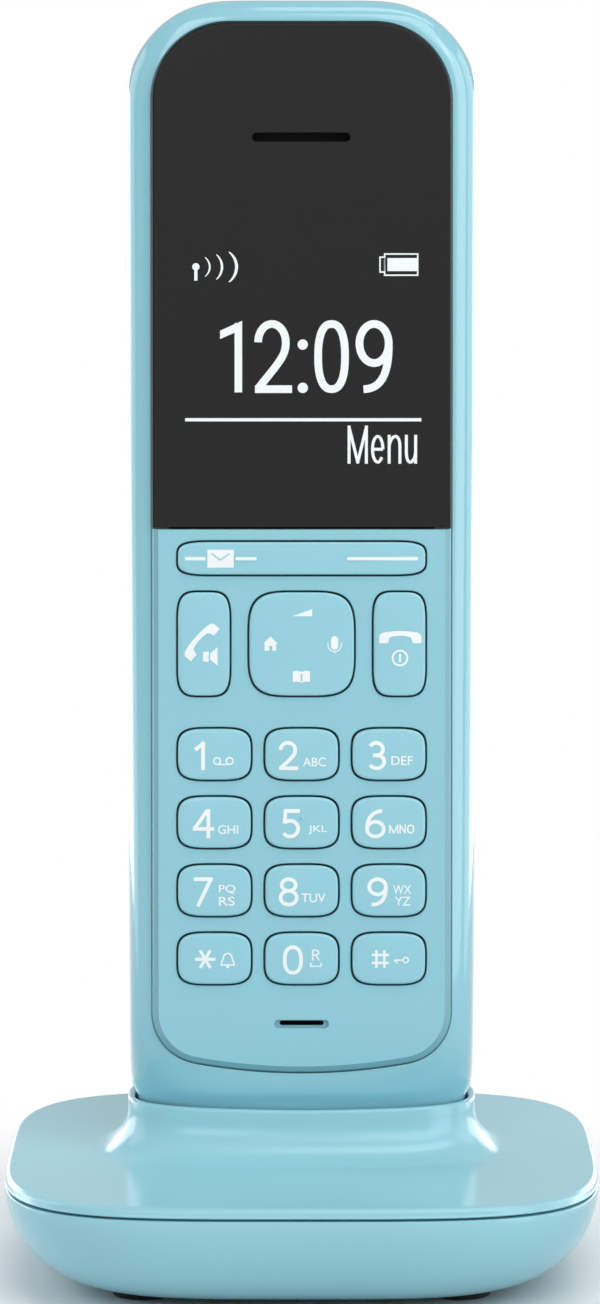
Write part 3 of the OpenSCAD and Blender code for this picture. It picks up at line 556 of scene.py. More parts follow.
battery = {
    # width, foot, top and corner seen from behind
    "cover": (30.0, 27.0, 97.0, 4.0), "bay": (22.2, 29.0, 80.1, 0.6), "back": (41.2, 3.6, 157.2, 10.6),
    "coverT": 1.5, "gap": 0.25, "rest": 0.2, "lip": 0.08,
    "bayFloor": 11.8, "ledge": 1.8, "ledgeDepth": 19.9, "bayWall": 1.0,
    "screwX": 11.5, "screwZ": 92.15, "screwSeat": 20.8, "screwR": 2.2,
    "prongX": 13.4, "prongZ": (37.0, 87.05), "prongHalf": (0.5, 1.8), "prongDepth": (20.5, 23.3),
    # width, height, corner, place and pitch of the grille's slots and the cover's ridges
    "slot": (12.0, 1.1, 0.53), "slotZ": 115.0, "slotPitch": 2.5, "slotDepth": (18.0, 27.0),
    "ridge": (0.8, 0.38), "ridgeW": 13.0, "ridgeStep": 1.6, "ridgeZ": 86.0, "ridgePitch": 1.8,
    "ridgeDepth": (25.22, 24.6), "outside": 27.0,
    "padX": 8, "padHalf": 3.05, "padSlot": (14.95, 19.05, -3, 6),      # depths and heights
}


def grownPlan(box, grow):
    w, foot, top, r = box
    return roundedOutline(w + 2 * grow, foot - grow, top + grow, max(0.05, r + grow))


def prongs(bm, gap, end):
    # The cover's clips, or with a gap the slots that take them
    b = battery
    halfX, halfZ = b["prongHalf"]
    for side in (-1, 1):
        for z in b["prongZ"]:
            x = side * b["prongX"]
            boxMesh(bm, x - halfX - gap, x + halfX + gap, b["prongDepth"][0] - gap, end,
                    z - halfZ - gap, z + halfZ + gap)


def rearHousing():
    b, h = battery, handset
    plan = roundedOutline(*b["back"])
    slices = (12.62, 13.8, 15.2, 16.6, 17.9, 19.0, 20.0, 20.9, 21.6)

    def across(fromRing, toPlan, shares, sink, out=0.0):
        # Rings between a ring and a plan, on the form's back moved in or out
        made = []
        for share in shares:
            now = []
            for start, (q, _) in zip(fromRing, toPlan):
                x, z = start.x + (q[0] - start.x) * share, start.z + (q[1] - start.z) * share
                now.append(Vector((x, skinDepth(x, z, out, True) + sink, z)))
            made.append(now)
        return made

    opening, under = grownPlan(b["cover"], b["gap"]), grownPlan(b["cover"], b["ledge"])
    bay, bayOut = grownPlan(b["bay"], 0), grownPlan(b["bay"], b["bayWall"])
    rings = [formRing(plan, slices[0], depth=h["seamDepth"], inset=h["seamRound"])]
    rings += [formRing(plan, y) for y in slices]
    rings += across(rings[-1], opening, [k / 12 for k in range(1, 12)] + [0.97, 1.0], 0)
    rim = rings[-1]
    rings.append([v + Vector((0, -b["lip"], 0)) for v in rim])
    rings += across(rim, bay, (0.0, 0.33, 0.66, 1.0), -b["coverT"] - b["rest"])
    rings.append(ringOf(bay, b["bayFloor"]))
    inner = [formRing(plan, y, -h["wall"]) for y in (h["seamDepth"], 15.0, 17.5, 19.3)]
    inner += across(inner[-1], under, (0.25, 0.5, 0.75, 1.0), 0, -h["wall"])
    inner += [ringOf(under, b["ledgeDepth"]), ringOf(bayOut, b["ledgeDepth"]),
              ringOf(bayOut, b["bayFloor"] - b["bayWall"])]
    shell = loftPiece("rear_housing", rings[::-1] + inner, handsetPlace, "housing", 50)
    cut = bmesh.new()
    for k in range(-2, 3):      # grille of the ringer
        plate(cut, roundedRect(*b["slot"], 0, b["slotZ"] + k * b["slotPitch"]), *b["slotDepth"])
    seat, end = b["screwSeat"], b["outside"]
    for side in (-1, 1):
        middle = Matrix.Translation((side * b["screwX"], (seat + end) / 2, b["screwZ"]))
        pin(cut, b["screwR"], end - seat, middle @ Matrix.Rotation(math.pi / 2, 4, "X"), 32)
        x = side * b["padX"]
        boxMesh(cut, x - b["padHalf"], x + b["padHalf"], *b["padSlot"])
    prongs(cut, b["gap"], end - 1)
    carve(shell, cut, handsetPlace, 50)
    return settle(shell, "handset", "housing_blue", "handset_rear_housing")


def batteryCover():
    b = battery

    def ring(inset, sink):
        return ringOf(grownPlan(b["cover"], -inset), lambda x, z: skinDepth(x, z, 0, True) + sink)

    rings = [ring(s, -b["coverT"]) for s in (14.0, 10.0, 7.0, 4.0, 2.0, 0.0)]
    rings += [ring(0.0, -0.16), ring(0.05, -0.05), ring(0.16, 0.0)]
    rings += [ring(s, 0.0) for s in (1.0, 2.5, 4.5, 7.0, 10.0, 12.5, 14.0)]
    bm = bmesh.new()
    loftRings(bm, rings, capStart=True, capEnd=True)
    for k in range(5):      # ridges for the thumb
        wide = b["ridgeW"] - abs(k - 2) * b["ridgeStep"]
        plate(bm, roundedRect(wide, *b["ridge"], 0, b["ridgeZ"] - k * b["ridgePitch"]), *b["ridgeDepth"])
    prongs(bm, 0, b["prongDepth"][1])
    return settle(link("battery_cover_shell", bm, handsetPlace, "housing", 40),
                  "battery_cover", "housing_blue", "battery_cover")


def quarterRound(steps):
    # Shares of a rounding: how far in from the side, and how far below the front
    turns = [math.pi / 2 * k / steps for k in range(steps + 1)]
    return [(1 - math.cos(a), 1 - math.sin(a)) for a in turns]


def slopedEdge():
    # The same shares for an edge that slopes down from the front and then turns to the side
    return [(0, 1), (0.03, 0.8), (0.1, 0.62), (0.22, 0.48), (0.4, 0.36), (1, 0)]


def paintShadeOnEdges(piece, finish, least=0.97):
    # Faces that turn away from the front take a second, darker finish: painted shade where the surface turns
    # from the light
    piece.data.materials.append(finish)
    for f in piece.data.polygons:
        if -f.normal.dot(backAxis) < least:
            f.material_index = 1


def displayWindow():
    f = face
    low = f["split"] + f["splitGap"]

    def ring(inset, drop):
        return ringOf(facePlan(-inset * f["round"], low=low + inset * f["splitRound"]), drop)

    rings = [ring(0, f["floor"])]
    rings += [ring(inset, -f["proud"] + drop * f["round"]) for inset, drop in quarterRound(6)]
    window = loftPiece("display_window_pane", rings, handsetPlace, "window", 60)
    cut = bmesh.new()
    plate(cut, roundedRect(*f["earSlot"]), *f["earDepth"])
    carve(window, cut, handsetPlace, 60)
    # the window's rounded edges take painted shade
    paintShadeOnEdges(window, finishes["windowEdgeShade"])
    weighted(window)
    return settle(window, "handset", "window_black", "display_window")


keypad = {
    # width, height and corner sweep of each kind of key
    "number": (9.87, 6.9, 4.85, 3.4), "call": (7.0, 14.0, 3.3, 4.8), "navigation": (14.2, 14.0, 6.6, 6.6),
    "soft": (33.5, 4.4, 5.5, 2.15),
    "pitchX": 11.82, "pitchZ": 9.25, "topRow": 57.85, "callX": 13.25, "callZ": 72.8, "softZ": 84.4,
    "gap": 0.23, "holeRound": 0.13, "edge": -0.98, "crown": 0.28, "round": 0.27, "back": 1.6,
    "nubX": 0.06, "nubZ": 0.65, "nubR": 0.32, "nubSquash": 0.55, "nubSink": 0.02,
    "micZ": 21.3, "micW": 6.0, "micH": 0.66, "micRound": 0.05,
    "recess": (7.4, 1.15, 0.35, -0.12),      # width, height, depth, and how far from the microphone
    "cell": 0.7,                             # cell size where print and panel follow a curve
}
keyPlaces = {
    "soft_key_bar": (0, keypad["softZ"], *keypad["soft"]),
    "talk_key": (-keypad["callX"], keypad["callZ"], *keypad["call"]),
    "end_key": (keypad["callX"], keypad["callZ"], *keypad["call"]),
    "navigation_key": (0, keypad["callZ"], *keypad["navigation"]),
}
for index, label in enumerate("1 2 3 4 5 6 7 8 9 star 0 hash".split()):
    keyPlaces["key_" + label] = ((index % 3 - 1) * keypad["pitchX"],
                                 keypad["topRow"] - index // 3 * keypad["pitchZ"], *keypad["number"])


def cutCells(bm, axis, low, high, dist):
    # Cuts a mesh across at even steps along an axis
    at = low + keypad["cell"]
    while at < high:
        bmesh.ops.bisect_plane(bm, geom=bm.verts[:] + bm.edges[:] + bm.faces[:],
                               plane_co=[c * at for c in axis], plane_no=axis, dist=dist)
        at += keypad["cell"]


def keypadPanel():
    f, k = face, keypad
    bm = bmesh.new()
    fronts, backs = [], []

    def wall(outline, rounding, shares):
        # A loop of the flat panel with its wall; outline gives the loop at a share of the inset
        rings = [ringOf(outline(inset), -f["proud"] + drop * rounding) for inset, drop in reversed(shares)]
        rings.append(ringOf(outline(0), f["floor"]))
        for loop, kept in zip(loftRings(bm, rings), (fronts, backs)):
            kept.extend(loopEdges(bm, loop))

    high = f["split"] - f["splitGap"]
    edge = f["panelEdge"]
    wall(lambda inset: facePlan(-inset * edge, high=high - inset * f["splitRound"]), edge, slopedEdge())
    for x, z, w, h, sweepX, sweepZ in keyPlaces.values():
        def hole(inset):
            g = k["gap"] + inset * k["holeRound"]
            return softRect(w + 2 * g, h + 2 * g, sweepX + g, sweepZ + g, x, z)
        wall(hole, k["holeRound"], quarterRound(4))
    flare = 2 * k["micRound"]
    wall(lambda inset: roundedRect(k["micW"] + flare * inset, k["micH"] + flare * inset,
                                   k["micH"] / 2 - 0.01, 0, k["micZ"]), k["micRound"], quarterRound(2))
    for edges in (fronts, backs):
        bmesh.ops.triangle_fill(bm, use_beauty=True, edges=edges, normal=(0, -1, 0))
    cutCells(bm, (0, 0, 1), f["foot"], handset["chinStart"], 1e-4)
    for v in bm.verts:
        v.co.y += chin(v.co.z)
    panel = link("keypad_panel_plate", bm, handsetPlace, "panel", 60)
    cut = bmesh.new()
    wide, tall, deep, drop = k["recess"]
    floor = -f["proud"] + chin(k["micZ"]) + deep
    plate(cut, roundedRect(wide, tall, tall / 2 - 0.01, 0, k["micZ"] + drop), -2.0, floor)
    carve(panel, cut, handsetPlace, 25)
    # the panel's sloping edges take painted shade
    paintShadeOnEdges(panel, finishes["panelEdge"])
    toPanel = handsetPlace.inverted()
    for part in panel.data.polygons:      # floor of the recess, in the same darker finish: painted shade in the recess
        at = toPanel @ part.center
        if abs(at.x) < wide / 2 and abs(at.z - k["micZ"] - drop) < tall / 2:
            part.material_index = 1
    weighted(panel)
    return settle(panel, "handset", "panel_blue", "keypad_panel")


def keyFront(dx, dz, w, h):
    # Depth of a key's crowned face, from its centre
    return keypad["edge"] - keypad["crown"] * (1 - (2 * dx / w) ** 2) * (1 - (2 * dz / h) ** 2)


def keyCap(name):
    x, z, w, h, sweepX, sweepZ = keyPlaces[name]
    k = keypad

    def ring(inset, depth):
        wide, tall = w - 2 * inset, h - 2 * inset
        sweeps = [min(max(0.03, s - inset), size / 2) for s, size in ((sweepX, wide), (sweepZ, tall))]
        return ringOf(softRect(wide, tall, *sweeps), depth)

    def crowned(inset, drop):
        return ring(inset, lambda px, pz: keyFront(px, pz, w, h) + drop)

    rings = [ring(0, k["back"])]
    rings += [crowned(k["round"] * inset, k["round"] * drop) for inset, drop in quarterRound(5)]
    room = min(w, h) / 2 - k["round"]      # the last ring closes on the middle line
    cells = 8
    rings += [crowned(k["round"] + room * step / cells, 0) for step in range(1, cells + 1)]
    bm = bmesh.new()
    loftRings(bm, rings, capStart=True)
    bmesh.ops.translate(bm, verts=bm.verts, vec=(x, 0, z))
    return bm


def conform(bm, front):
    # Lays flat print on a curved face: cuts it into small cells and sets each point's depth
    spans = [[v.co[i] for v in bm.verts] for i in (0, 2)]
    for values, axis in zip(spans, ((1, 0, 0), (0, 0, 1))):
        cutCells(bm, axis, min(values), max(values), 1e-5)
    for v in bm.verts:
        v.co.y += front(v.co.x, v.co.z)


def textMesh(bm, words, x, z, height, width, bold):
    # Words centred on a point, in millimetres, as flat faces in the front view
    curve = bpy.data.curves.new("words", "FONT")
    curve.body = words
    curve.size = 10
    curve.offset = bold
    curve.resolution_u = 6
    holder = addObject("words", curve)
    bpy.context.view_layer.update()
    mesh = bpy.data.meshes.new_from_object(holder.evaluated_get(bpy.context.evaluated_depsgraph_get()))
    bpy.data.objects.remove(holder)
    xs, ys = [v.co.x for v in mesh.vertices], [v.co.y for v in mesh.vertices]
    sx, sy = width / (max(xs) - min(xs)), height / (max(ys) - min(ys))
    cx, cy = (max(xs) + min(xs)) / 2, (max(ys) + min(ys)) / 2
    for v in mesh.vertices:
        v.co = ((v.co.x - cx) * sx + x, 0, (v.co.y - cy) * sy + z)
    bm.from_mesh(mesh)
    bpy.data.meshes.remove(mesh)


def strip(bm, pairs, layer=0):
    # A band of cells between two edges, given as pairs of points in the front view
    y = -0.004 * layer
    a, b = (bm.verts.new((p[0], y, p[1])) for p in pairs[0])
    edge = bm.edges.new((a, b))
    for left, right in pairs[1:]:
        c, d = newVerts(bmesh.ops.extrude_edge_only(bm, edges=[edge]))
        if all(e.other_vert(c) != a for e in c.link_edges):
            c, d = d, c
        c.co, d.co = (left[0], y, left[1]), (right[0], y, right[1])
        a, b, edge = c, d, bm.edges.get((c, d))


def stroke(bm, x0, z0, x1, z1, t, layer=0):
    d = Vector((x1 - x0, z1 - z0)).normalized() * t / 2
    strip(bm, [((x - d.y, z + d.x), (x + d.y, z - d.x)) for x, z in ((x0, z0), (x1, z1))], layer)


def ringPart(bm, cx, cz, r, t, fromAngle=0, toAngle=360, steps=24, layer=0):
    strip(bm, [[polar(cx, cz, q, a) for q in (r - t / 2, r + t / 2)]
               for a in sweep(fromAngle, toAngle, steps)], layer)


def crescent(bm, cx, cz, r, t, turn, steps=16):
    # An arc that thins towards its ends
    pairs = []
    for k in range(steps + 1):
        share = 2 * k / steps - 1
        a, thick = math.radians(turn * share), t * (1 - 0.65 * share * share)
        pairs.append([polar(cx, cz, q, a) for q in (r - thick, r)])
    strip(bm, pairs)


def disc(bm, cx, cz, r, steps=16, layer=0):
    ringPart(bm, cx, cz, r / 2, r * 0.999, 0, 360, steps, layer)


def asterisk(bm, cx, cz, r, t):
    # Three strokes through a centre
    for layer in range(3):
        a = math.radians(60 * layer)
        stroke(bm, *polar(cx, cz, -r, a), *polar(cx, cz, r, a), t, layer)


def frameOf(bm, x0, x1, z0, z1, t):
    # An upright frame drawn in strokes
    half = t / 2
    for x in (x0 + half, x1 - half):
        stroke(bm, x, z0, x, z1, t)
    for z in (z0 + half, z1 - half):
        stroke(bm, x0, z, x1, z, t, 1)

def rect(bm, x0, z0, x1, z1):
    strip(bm, [((x0, z0), (x0, z1)), ((x1, z0), (x1, z1))])


def ribbon(bm, points, t, closed=False, layer=0):
    # A line of even width along a path; lines that cross lie in layers a hair apart
    pairs = []
    for k, p in enumerate(points):
        before = points[k - 1] if k or closed else p
        after = points[(k + 1) % len(points)] if k < len(points) - 1 or closed else p
        d = Vector((after[0] - before[0], after[1] - before[1])).normalized() * t / 2
        pairs.append(((p[0] - d.y, p[1] + d.x), (p[0] + d.y, p[1] - d.x)))
    strip(bm, pairs + pairs[:1] if closed else pairs, layer)


def bow(cx, cz, rx, rz, fromAngle, toAngle, steps=20):
    return [(cx + rx * math.cos(a), cz + rz * math.sin(a)) for a in sweep(fromAngle, toAngle, steps)]


def oval(cx, cz, rx, rz, power=2.0, steps=40):
    turns = [math.tau * k / steps for k in range(steps)]
    return [(cx + rx * raised(math.cos(a), 2 / power), cz + rz * raised(math.sin(a), 2 / power))
            for a in turns]


def curl(a, b, c, d, steps=14):
    # Points along a curve that leaves a towards b and reaches d from c
    found = []
    for k in range(steps + 1):
        t = k / steps
        found.append(tuple((1 - t) ** 3 * a[i] + 3 * (1 - t) ** 2 * t * b[i] + 3 * (1 - t) * t * t * c[i]
                           + t ** 3 * d[i] for i in (0, 1)))
    return found


# Centre lines of figures and letters in a box one unit wide and high. The two numbers say how far a
# line runs on past its ends, in half strokes; a line without them is closed.
figures = {
    "0": [(oval(0.5, 0.5, 0.5, 0.5, 2.4), None)],
    "1": [([(1, 1), (1, 0)], (0.6, 1)), ([(1, 0.97), (0, 0.76)], (0.9, 0.9))],
    "2": [(bow(0.46, 0.72, 0.46, 0.28, 180, 0)
           + curl((0.92, 0.72), (0.92, 0.5), (0.7, 0.42), (0.02, 0.02))[1:], (0, 0.3)),
          ([(0, 0), (1, 0)], (0.8, 1))],
    "3": [(bow(0.47, 0.745, 0.45, 0.255, 152, -90), (0, 0)), (bow(0.5, 0.26, 0.5, 0.26, 90, -152), (0, 0)),
          ([(0.25, 0.51), (0.5, 0.51)], (0, 0))],
    "4": [([(0.7, 1), (0, 0.3)], (0.6, 0.2)), ([(0, 0.3), (1, 0.3)], (0.8, 1)),
          ([(0.78, 1), (0.78, 0)], (1, 1))],
    "5": [([(0.12, 1), (1, 1)], (0.9, 0.9)), ([(0.12, 1), (0.06, 0.53)], (0, 0.3)),
          (bow(0.44, 0.31, 0.56, 0.31, 133, -145), (0, 0))],
    "6": [(oval(0.5, 0.29, 0.5, 0.29), None), (curl((0, 0.33), (0, 0.74), (0.36, 0.99), (0.9, 1)), (0, 0))],
    "7": [([(0, 1), (1, 1)], (1, 1)), ([(1, 1), (0.19, 0)], (0, 1))],
    "8": [(oval(0.5, 0.77, 0.43, 0.23), None), (oval(0.5, 0.272, 0.5, 0.272), None)],
    "9": [(oval(0.5, 0.7, 0.5, 0.3), None), (curl((1, 0.66), (1, 0.25), (0.75, 0), (0.14, 0)), (0, 0))],
    "M": [([(0, 0), (0, 1)], (1, 1)), ([(1, 0), (1, 1)], (1, 1)), ([(0, 1), (0.5, 0)], (0.8, 0.8)),
          ([(1, 1), (0.5, 0)], (0.8, 0.8))],
    "N": [([(0, 0), (0, 1)], (1, 1)), ([(1, 0), (1, 1)], (1, 1)), ([(0, 1), (1, 0)], (0.8, 0.8))],
    "e": [([(0, 0.5), (1, 0.5)], (0, 0)), (bow(0.5, 0.5, 0.5, 0.5, 0, 322), (0, 0))],
    "n": [([(0, 0), (0, 1)], (1, 1)), (curl((0, 0.6), (0.1, 1.06), (1, 1.2), (1, 0.6)) + [(1, 0)], (0, 1))],
    "u": [([(1, 1), (1, 0)], (1, 1)), (curl((1, 0.4), (0.9, -0.06), (0, -0.2), (0, 0.4)) + [(0, 1)], (0, 1))],
    "R": [([(0, 0), (0, 1)], (1, 1)), ([(0, 1), (0.45, 1)], (0, 0)),
          (bow(0.45, 0.75, 0.5, 0.25, 90, -90), (0, 0)), ([(0.45, 0.5), (0, 0.5)], (0, 0)),
          ([(0.45, 0.5), (1, 0)], (0, 0.8))],
}


def figure(bm, name, cx, cz, w, h, t):
    # One character in strokes of one width, filling a box about a centre
    def place(p):
        return (cx + (p[0] - 0.5) * (w - t), cz + (p[1] - 0.5) * (h - t))

    for layer, (path, ends) in enumerate(figures[name]):
        points = [place(p) for p in path]
        if ends:
            for end, near, share in ((0, 1, ends[0]), (-1, -2, ends[1])):
                d = Vector((points[end][0] - points[near][0], points[end][1] - points[near][1])).normalized()
                points[end] = (points[end][0] + d.x * t / 2 * share, points[end][1] + d.y * t / 2 * share)
        ribbon(bm, points, t, ends is None, layer)


def receiver(bm, cx, cz, size, turn):
    # A telephone receiver: a bowed grip whose ends are deeper, as ear and mouth caps
    pairs = []
    steps = 20
    for k in range(steps + 1):
        t = 1 - 2 * k / steps
        a = math.acos(t)
        outer = (2.84 * t, 0.2 + 0.63 * math.sin(a) ** 0.8)
        inner = (max(-2.84, min(2.84, 2.84 * t)), -0.82)
        if abs(t) < 0.6:
            inner = (2.84 * t, -0.42 + 0.6 * math.sqrt(1 - (t / 0.66) ** 2))
        pairs.append((outer, inner))
    c, sn = math.cos(math.radians(turn)), math.sin(math.radians(turn))
    strip(bm, [tuple((cx + size * (x * c - z * sn), cz + size * (x * sn + z * c)) for x, z in pair)
               for pair in pairs])


# A digit with its centre and width, then letters with their centre (x, z) and width
letters = {
    "key_2": ("2", -1.77, 2.66, (("ABC", 1.73, -1.02, 3.11),)),
    "key_3": ("3", -1.65, 2.53, (("DEF", 1.78, -0.83, 2.89),)),
    "key_4": ("4", -1.49, 2.93, (("GHI", 1.86, -0.94, 2.73),)),
    "key_5": ("5", -1.44, 2.46, (("JKL", 2.18, -0.97, 2.53),)),
    "key_6": ("6", -1.82, 2.77, ()),
    "key_7": ("7", -1.51, 2.55, (("PQ", 1.73, 0.2, 2.26), ("RS", 1.67, -1.41, 2.14))),
    "key_8": ("8", -1.75, 2.7, (("TUV", 1.6, -0.96, 3.27),)),
    "key_9": ("9", -1.53, 2.75, (("WX", 1.8, 0.17, 2.48), ("YZ", 1.86, -1.41, 2.14))),
    "key_0": ("0", -1.19, 2.73, ()),
}
printing = {
    "digit": 3.97, "stroke": 0.51, "small": 1.22, "digitZ": -0.15, "smallBold": 0.06,
    "lift": 0.012, "displayLift": 0.015,
}
# What else is drawn on a key: a function and its values, in millimetres from the key's centre
drawings = {
    "key_1": [(figure, "1", -1.97, -0.15, 1.42, 3.97, 0.52), (ringPart, 0.37, -0.9, 0.46, 0.2),
              (ringPart, 2.06, -0.9, 0.46, 0.2), (stroke, 0.37, -1.36, 2.06, -1.36, 0.2, 1)],
    "key_6": [(figure, "M", 0.65, -0.87, 1.25, 1.22, 0.19), (figure, "N", 1.865, -0.87, 0.88, 1.22, 0.19),
              (figure, "0", 2.955, -0.87, 1.0, 1.22, 0.19)],
    "key_star": [(asterisk, -1.25, -0.03, 1.38, 0.42), (ringPart, 1.79, 0.2, 0.56, 0.2, 0, 180, 14),
                 (stroke, 1.23, 0.22, 0.86, -0.83, 0.2), (stroke, 2.35, 0.22, 2.72, -0.83, 0.2),
                 (stroke, 0.8, -0.83, 2.78, -0.83, 0.2, 1), (disc, 1.79, -1.07, 0.2, 16, 2)],
    "key_0": [(figure, "R", 1.93, 0.53, 1.04, 1.5, 0.2), (stroke, 1.14, -1.0, 2.72, -1.0, 0.18),
              (stroke, 1.22, -1.0, 1.22, -0.5, 0.18, 1), (stroke, 2.64, -1.0, 2.64, -0.5, 0.18, 1)],
    "key_hash": [(stroke, -1.68, -1.22, -1.68, 1.18, 0.34), (stroke, -2.3, -0.54, 0.02, -0.54, 0.34, 1),
                 (stroke, -0.6, -1.22, -0.6, 1.18, 0.34), (stroke, -2.3, 0.54, 0.02, 0.54, 0.34, 1),
                 (ringPart, 2.28, -0.16, 0.36, 0.18), (stroke, 0.68, -0.16, 1.95, -0.16, 0.18),
                 (stroke, 1.04, -0.16, 1.04, -0.6, 0.2, 1), (stroke, 0.77, -0.16, 0.77, -0.42, 0.16, 1)],
    "soft_key_bar": [(stroke, -15.77, -0.05, -13.02, -0.05, 0.45), (stroke, -8.94, -0.05, -6.1, -0.05, 0.45),
                     (stroke, 6.17, -0.05, 15.73, -0.05, 0.45), (rect, -12.75, -1.27, -9.18, 1.17)],
    "talk_key": [(receiver, -0.42, 0.42, 1.04, 48), (rect, -0.09, -2.38, 0.68, -1.03),
                 (strip, [((0.86, -1.3), (0.86, -2.1)), ((1.87, -0.4), (1.87, -2.95))])],
    "end_key": [(receiver, 0.1, 0.93, 1.0, 0), (ringPart, 0.06, -1.89, 1.0, 0.27),
                (stroke, 0.06, -1.31, 0.06, -2.43, 0.27)],
    "navigation_key": [
        (strip, [((-1.2, 3.77), (-1.2, 3.79)), ((1.42, 3.77), (1.42, 4.74))]),
        (strip, [((-5.24, 0.05), (-5.2, 0.05)), ((-4.22, 0.05), (-4.22, 1.04)),
                 ((-3.24, 0.05), (-3.2, 0.05))]),
        (rect, -5.02, -0.9, -4.38, 0.08), (rect, -4.38, -0.25, -3.98, 0.08), (rect, -3.98, -0.9, -3.46, 0.08),
        (rect, 3.98, -0.3, 4.95, 0.6), (ringPart, 4.465, 0.6, 0.245, 0.48, 0, 180, 12),
        (ringPart, 4.465, -0.3, 0.245, 0.48, 180, 360, 12), (ringPart, 4.465, -0.12, 0.9, 0.14, 180, 360, 16),
        (stroke, 3.565, 0.2, 3.565, -0.12, 0.14), (stroke, 5.365, 0.2, 5.365, -0.12, 0.14),
        (stroke, 4.465, -0.92, 4.465, -1.25, 0.16),
        (strip, [((-1.2, -3.7), (-1.2, -5.15)), ((-0.6, -3.62), (-0.6, -5.08)), ((0, -3.75), (0, -5.22)),
                 ((0.6, -3.62), (0.6, -5.08)), ((1.14, -3.7), (1.14, -5.15))])],
}
# What is left open in the drawing, laid over it in the key's own finish
openings = {
    "soft_key_bar": [(stroke, -12.2, 0.67, -10.93, -0.28, 0.18), (stroke, -11.01, -0.28, -9.75, 0.67, 0.18)],
    "navigation_key": [(stroke, 0, -4.05, 0, -5.0, 0.22)],
}


def legend(name):
    # What is printed on a key, as functions with their values
    q, rows = printing, []
    if name in letters:
        digit, dx, width, words = letters[name]
        rows = [(figure, digit, dx, q["digitZ"], width, q["digit"], q["stroke"])]
        rows += [(textMesh, word, x, z, q["small"], wide, q["smallBold"]) for word, x, z, wide in words]
    return rows + drawings.get(name, [])


def printMesh(name, rows, front, place, finish):
    # Draws print, lays it on the face that front gives and sends it to its place, facing forward
    bm = bmesh.new()
    for draw, *values in rows:
        draw(bm, *values)
    if front:
        conform(bm, front)
    bm.transform(place)
    for f in bm.faces:
        f.normal_update()
        if f.normal.dot(backAxis) > 0:
            f.normal_flip()
    return meshObject(name, bm, finishes[finish])


def makeKey(name):
    x, z, w, h, _, _ = keyPlaces[name]
    k, lift = keypad, printing["lift"]
    cap = link(name + "_cap", keyCap(name), handsetPlace, "key", 35)
    place = handsetPlace @ Matrix.Translation((x, 0, z))
    layers = [printMesh("print", legend(name), lambda px, pz: keyFront(px, pz, w, h) - lift, place, "legend")]
    if name in openings:
        layers.append(printMesh("opened", openings[name], lambda px, pz: keyFront(px, pz, w, h) - 2 * lift,
                                place, "key"))
    if name == "key_5":      # nub that a finger finds
        nub = bmesh.new()
        bmesh.ops.create_uvsphere(nub, u_segments=24, v_segments=12, radius=k["nubR"])
        middle = Matrix.Translation((k["nubX"], keyFront(0, 0, w, h) + k["nubSink"], k["nubZ"]))
        nub.transform(middle @ Matrix.Diagonal((1, k["nubSquash"], 1, 1)))
        layers.append(link("nub", nub, place, "key"))
    join(cap, *layers)
    return settle(cap, name, "key_blue", name)


# What the display shows, drawn in the same way
shown = [
    # strength of signal: an aerial and three waves
    (disc, -14.3, 123.8, 0.5), (stroke, -14.3, 123.8, -14.3, 121.93, 0.43, 1),
    (crescent, -13.87, 123.78, 1.57, 0.24, 58), (crescent, -12.72, 123.78, 2.12, 0.32, 55),
    (crescent, -11.03, 123.78, 2.43, 0.4, 59),
    # charge: an outline with its nub to the left, and its filling
    (frameOf, 11.12, 15.79, 122.57, 125.63, 0.2), (frameOf, 10.5, 11.32, 123.0, 125.2, 0.2),
    (strip, [((11.6, 123.22), (11.6, 124.98)), ((15.7, 123.22), (15.7, 124.98))], 2),
    # the time
    (rect, -9.07, 106.84, -8.05, 116.2),
    (strip, [((-11.03, 115.17), (-11.03, 114.05)), ((-8.05, 116.51), (-8.05, 115.35))], 1),
    (figure, "2", -3.855, 111.68, 5.11, 9.85, 1.04), (figure, "0", 4.05, 111.68, 4.68, 9.85, 1.04),
    (figure, "9", 9.8, 111.68, 5.0, 9.85, 1.04), (disc, 0.15, 113.3, 0.7, 24), (disc, 0.15, 107.45, 0.7, 24),
    # the word over the right soft key, under a line
    (rect, -15.76, 102.92, 16.2, 103.36), (figure, "M", 7.59, 99.775, 2.74, 5.15, 0.4),
    (figure, "e", 10.295, 99.15, 1.81, 3.9, 0.4), (figure, "n", 12.575, 99.15, 1.85, 3.9, 0.4),
    (figure, "u", 14.8, 99.15, 1.66, 3.9, 0.4),
]


def displayPicture():
    before = Matrix.Translation((0, -face["proud"] - printing["displayLift"], 0))
    piece = printMesh("display_picture", shown, None, handsetPlace @ before, "legend")
    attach(piece, "handset")


cradle = {
    "w": 80.6, "l": 82.4, "power": 4.0, "seam": 14.35, "plate": 15.9, "rim": 22.7,
    "wall": 1.8, "gap": 0.32, "base": 0.95, "inset": 14.7, "middle": 34,
    # x, y, radius and height of each screw hole and foot recess
    "screw": (11, 24, 2.2, 2.2), "foot": (21.2, 20.5, 4.4, 1.0),
    "footHeight": 0.95, "footRound": 0.2, "footGap": 0.05,
    "collar": 1.0, "flare": 5.2, "lift": 0.5,
    "seatGap": 0.35, "seatDepth": 9.3, "seatWall": 1.5, "seatFloor": 1.6,
    "lipIn": 2.05, "lipT": 1.0, "lipH": 1.4, "rest": 0.05,
    "edge": 0.85, "edgeIn": 0.12, "rimRound": 0.4,
    "slotX": 8, "slotY": 17, "slotHalf": (1.6, 1.3), "slotZ": (-4, 2),
    "plug": (-5.2, 5.2, 32.2, 47, 3.7, 10.1), "points": 200,
}


def planRing(inset, z):
    c = cradle
    halfX, halfY = c["w"] / 2 - inset, c["l"] / 2 - inset
    turns = [math.tau * k / c["points"] for k in range(c["points"])]
    power = 2 / c["power"]
    return [Vector((halfX * raised(math.cos(a), power), halfY * raised(math.sin(a), power), z))
            for a in turns]


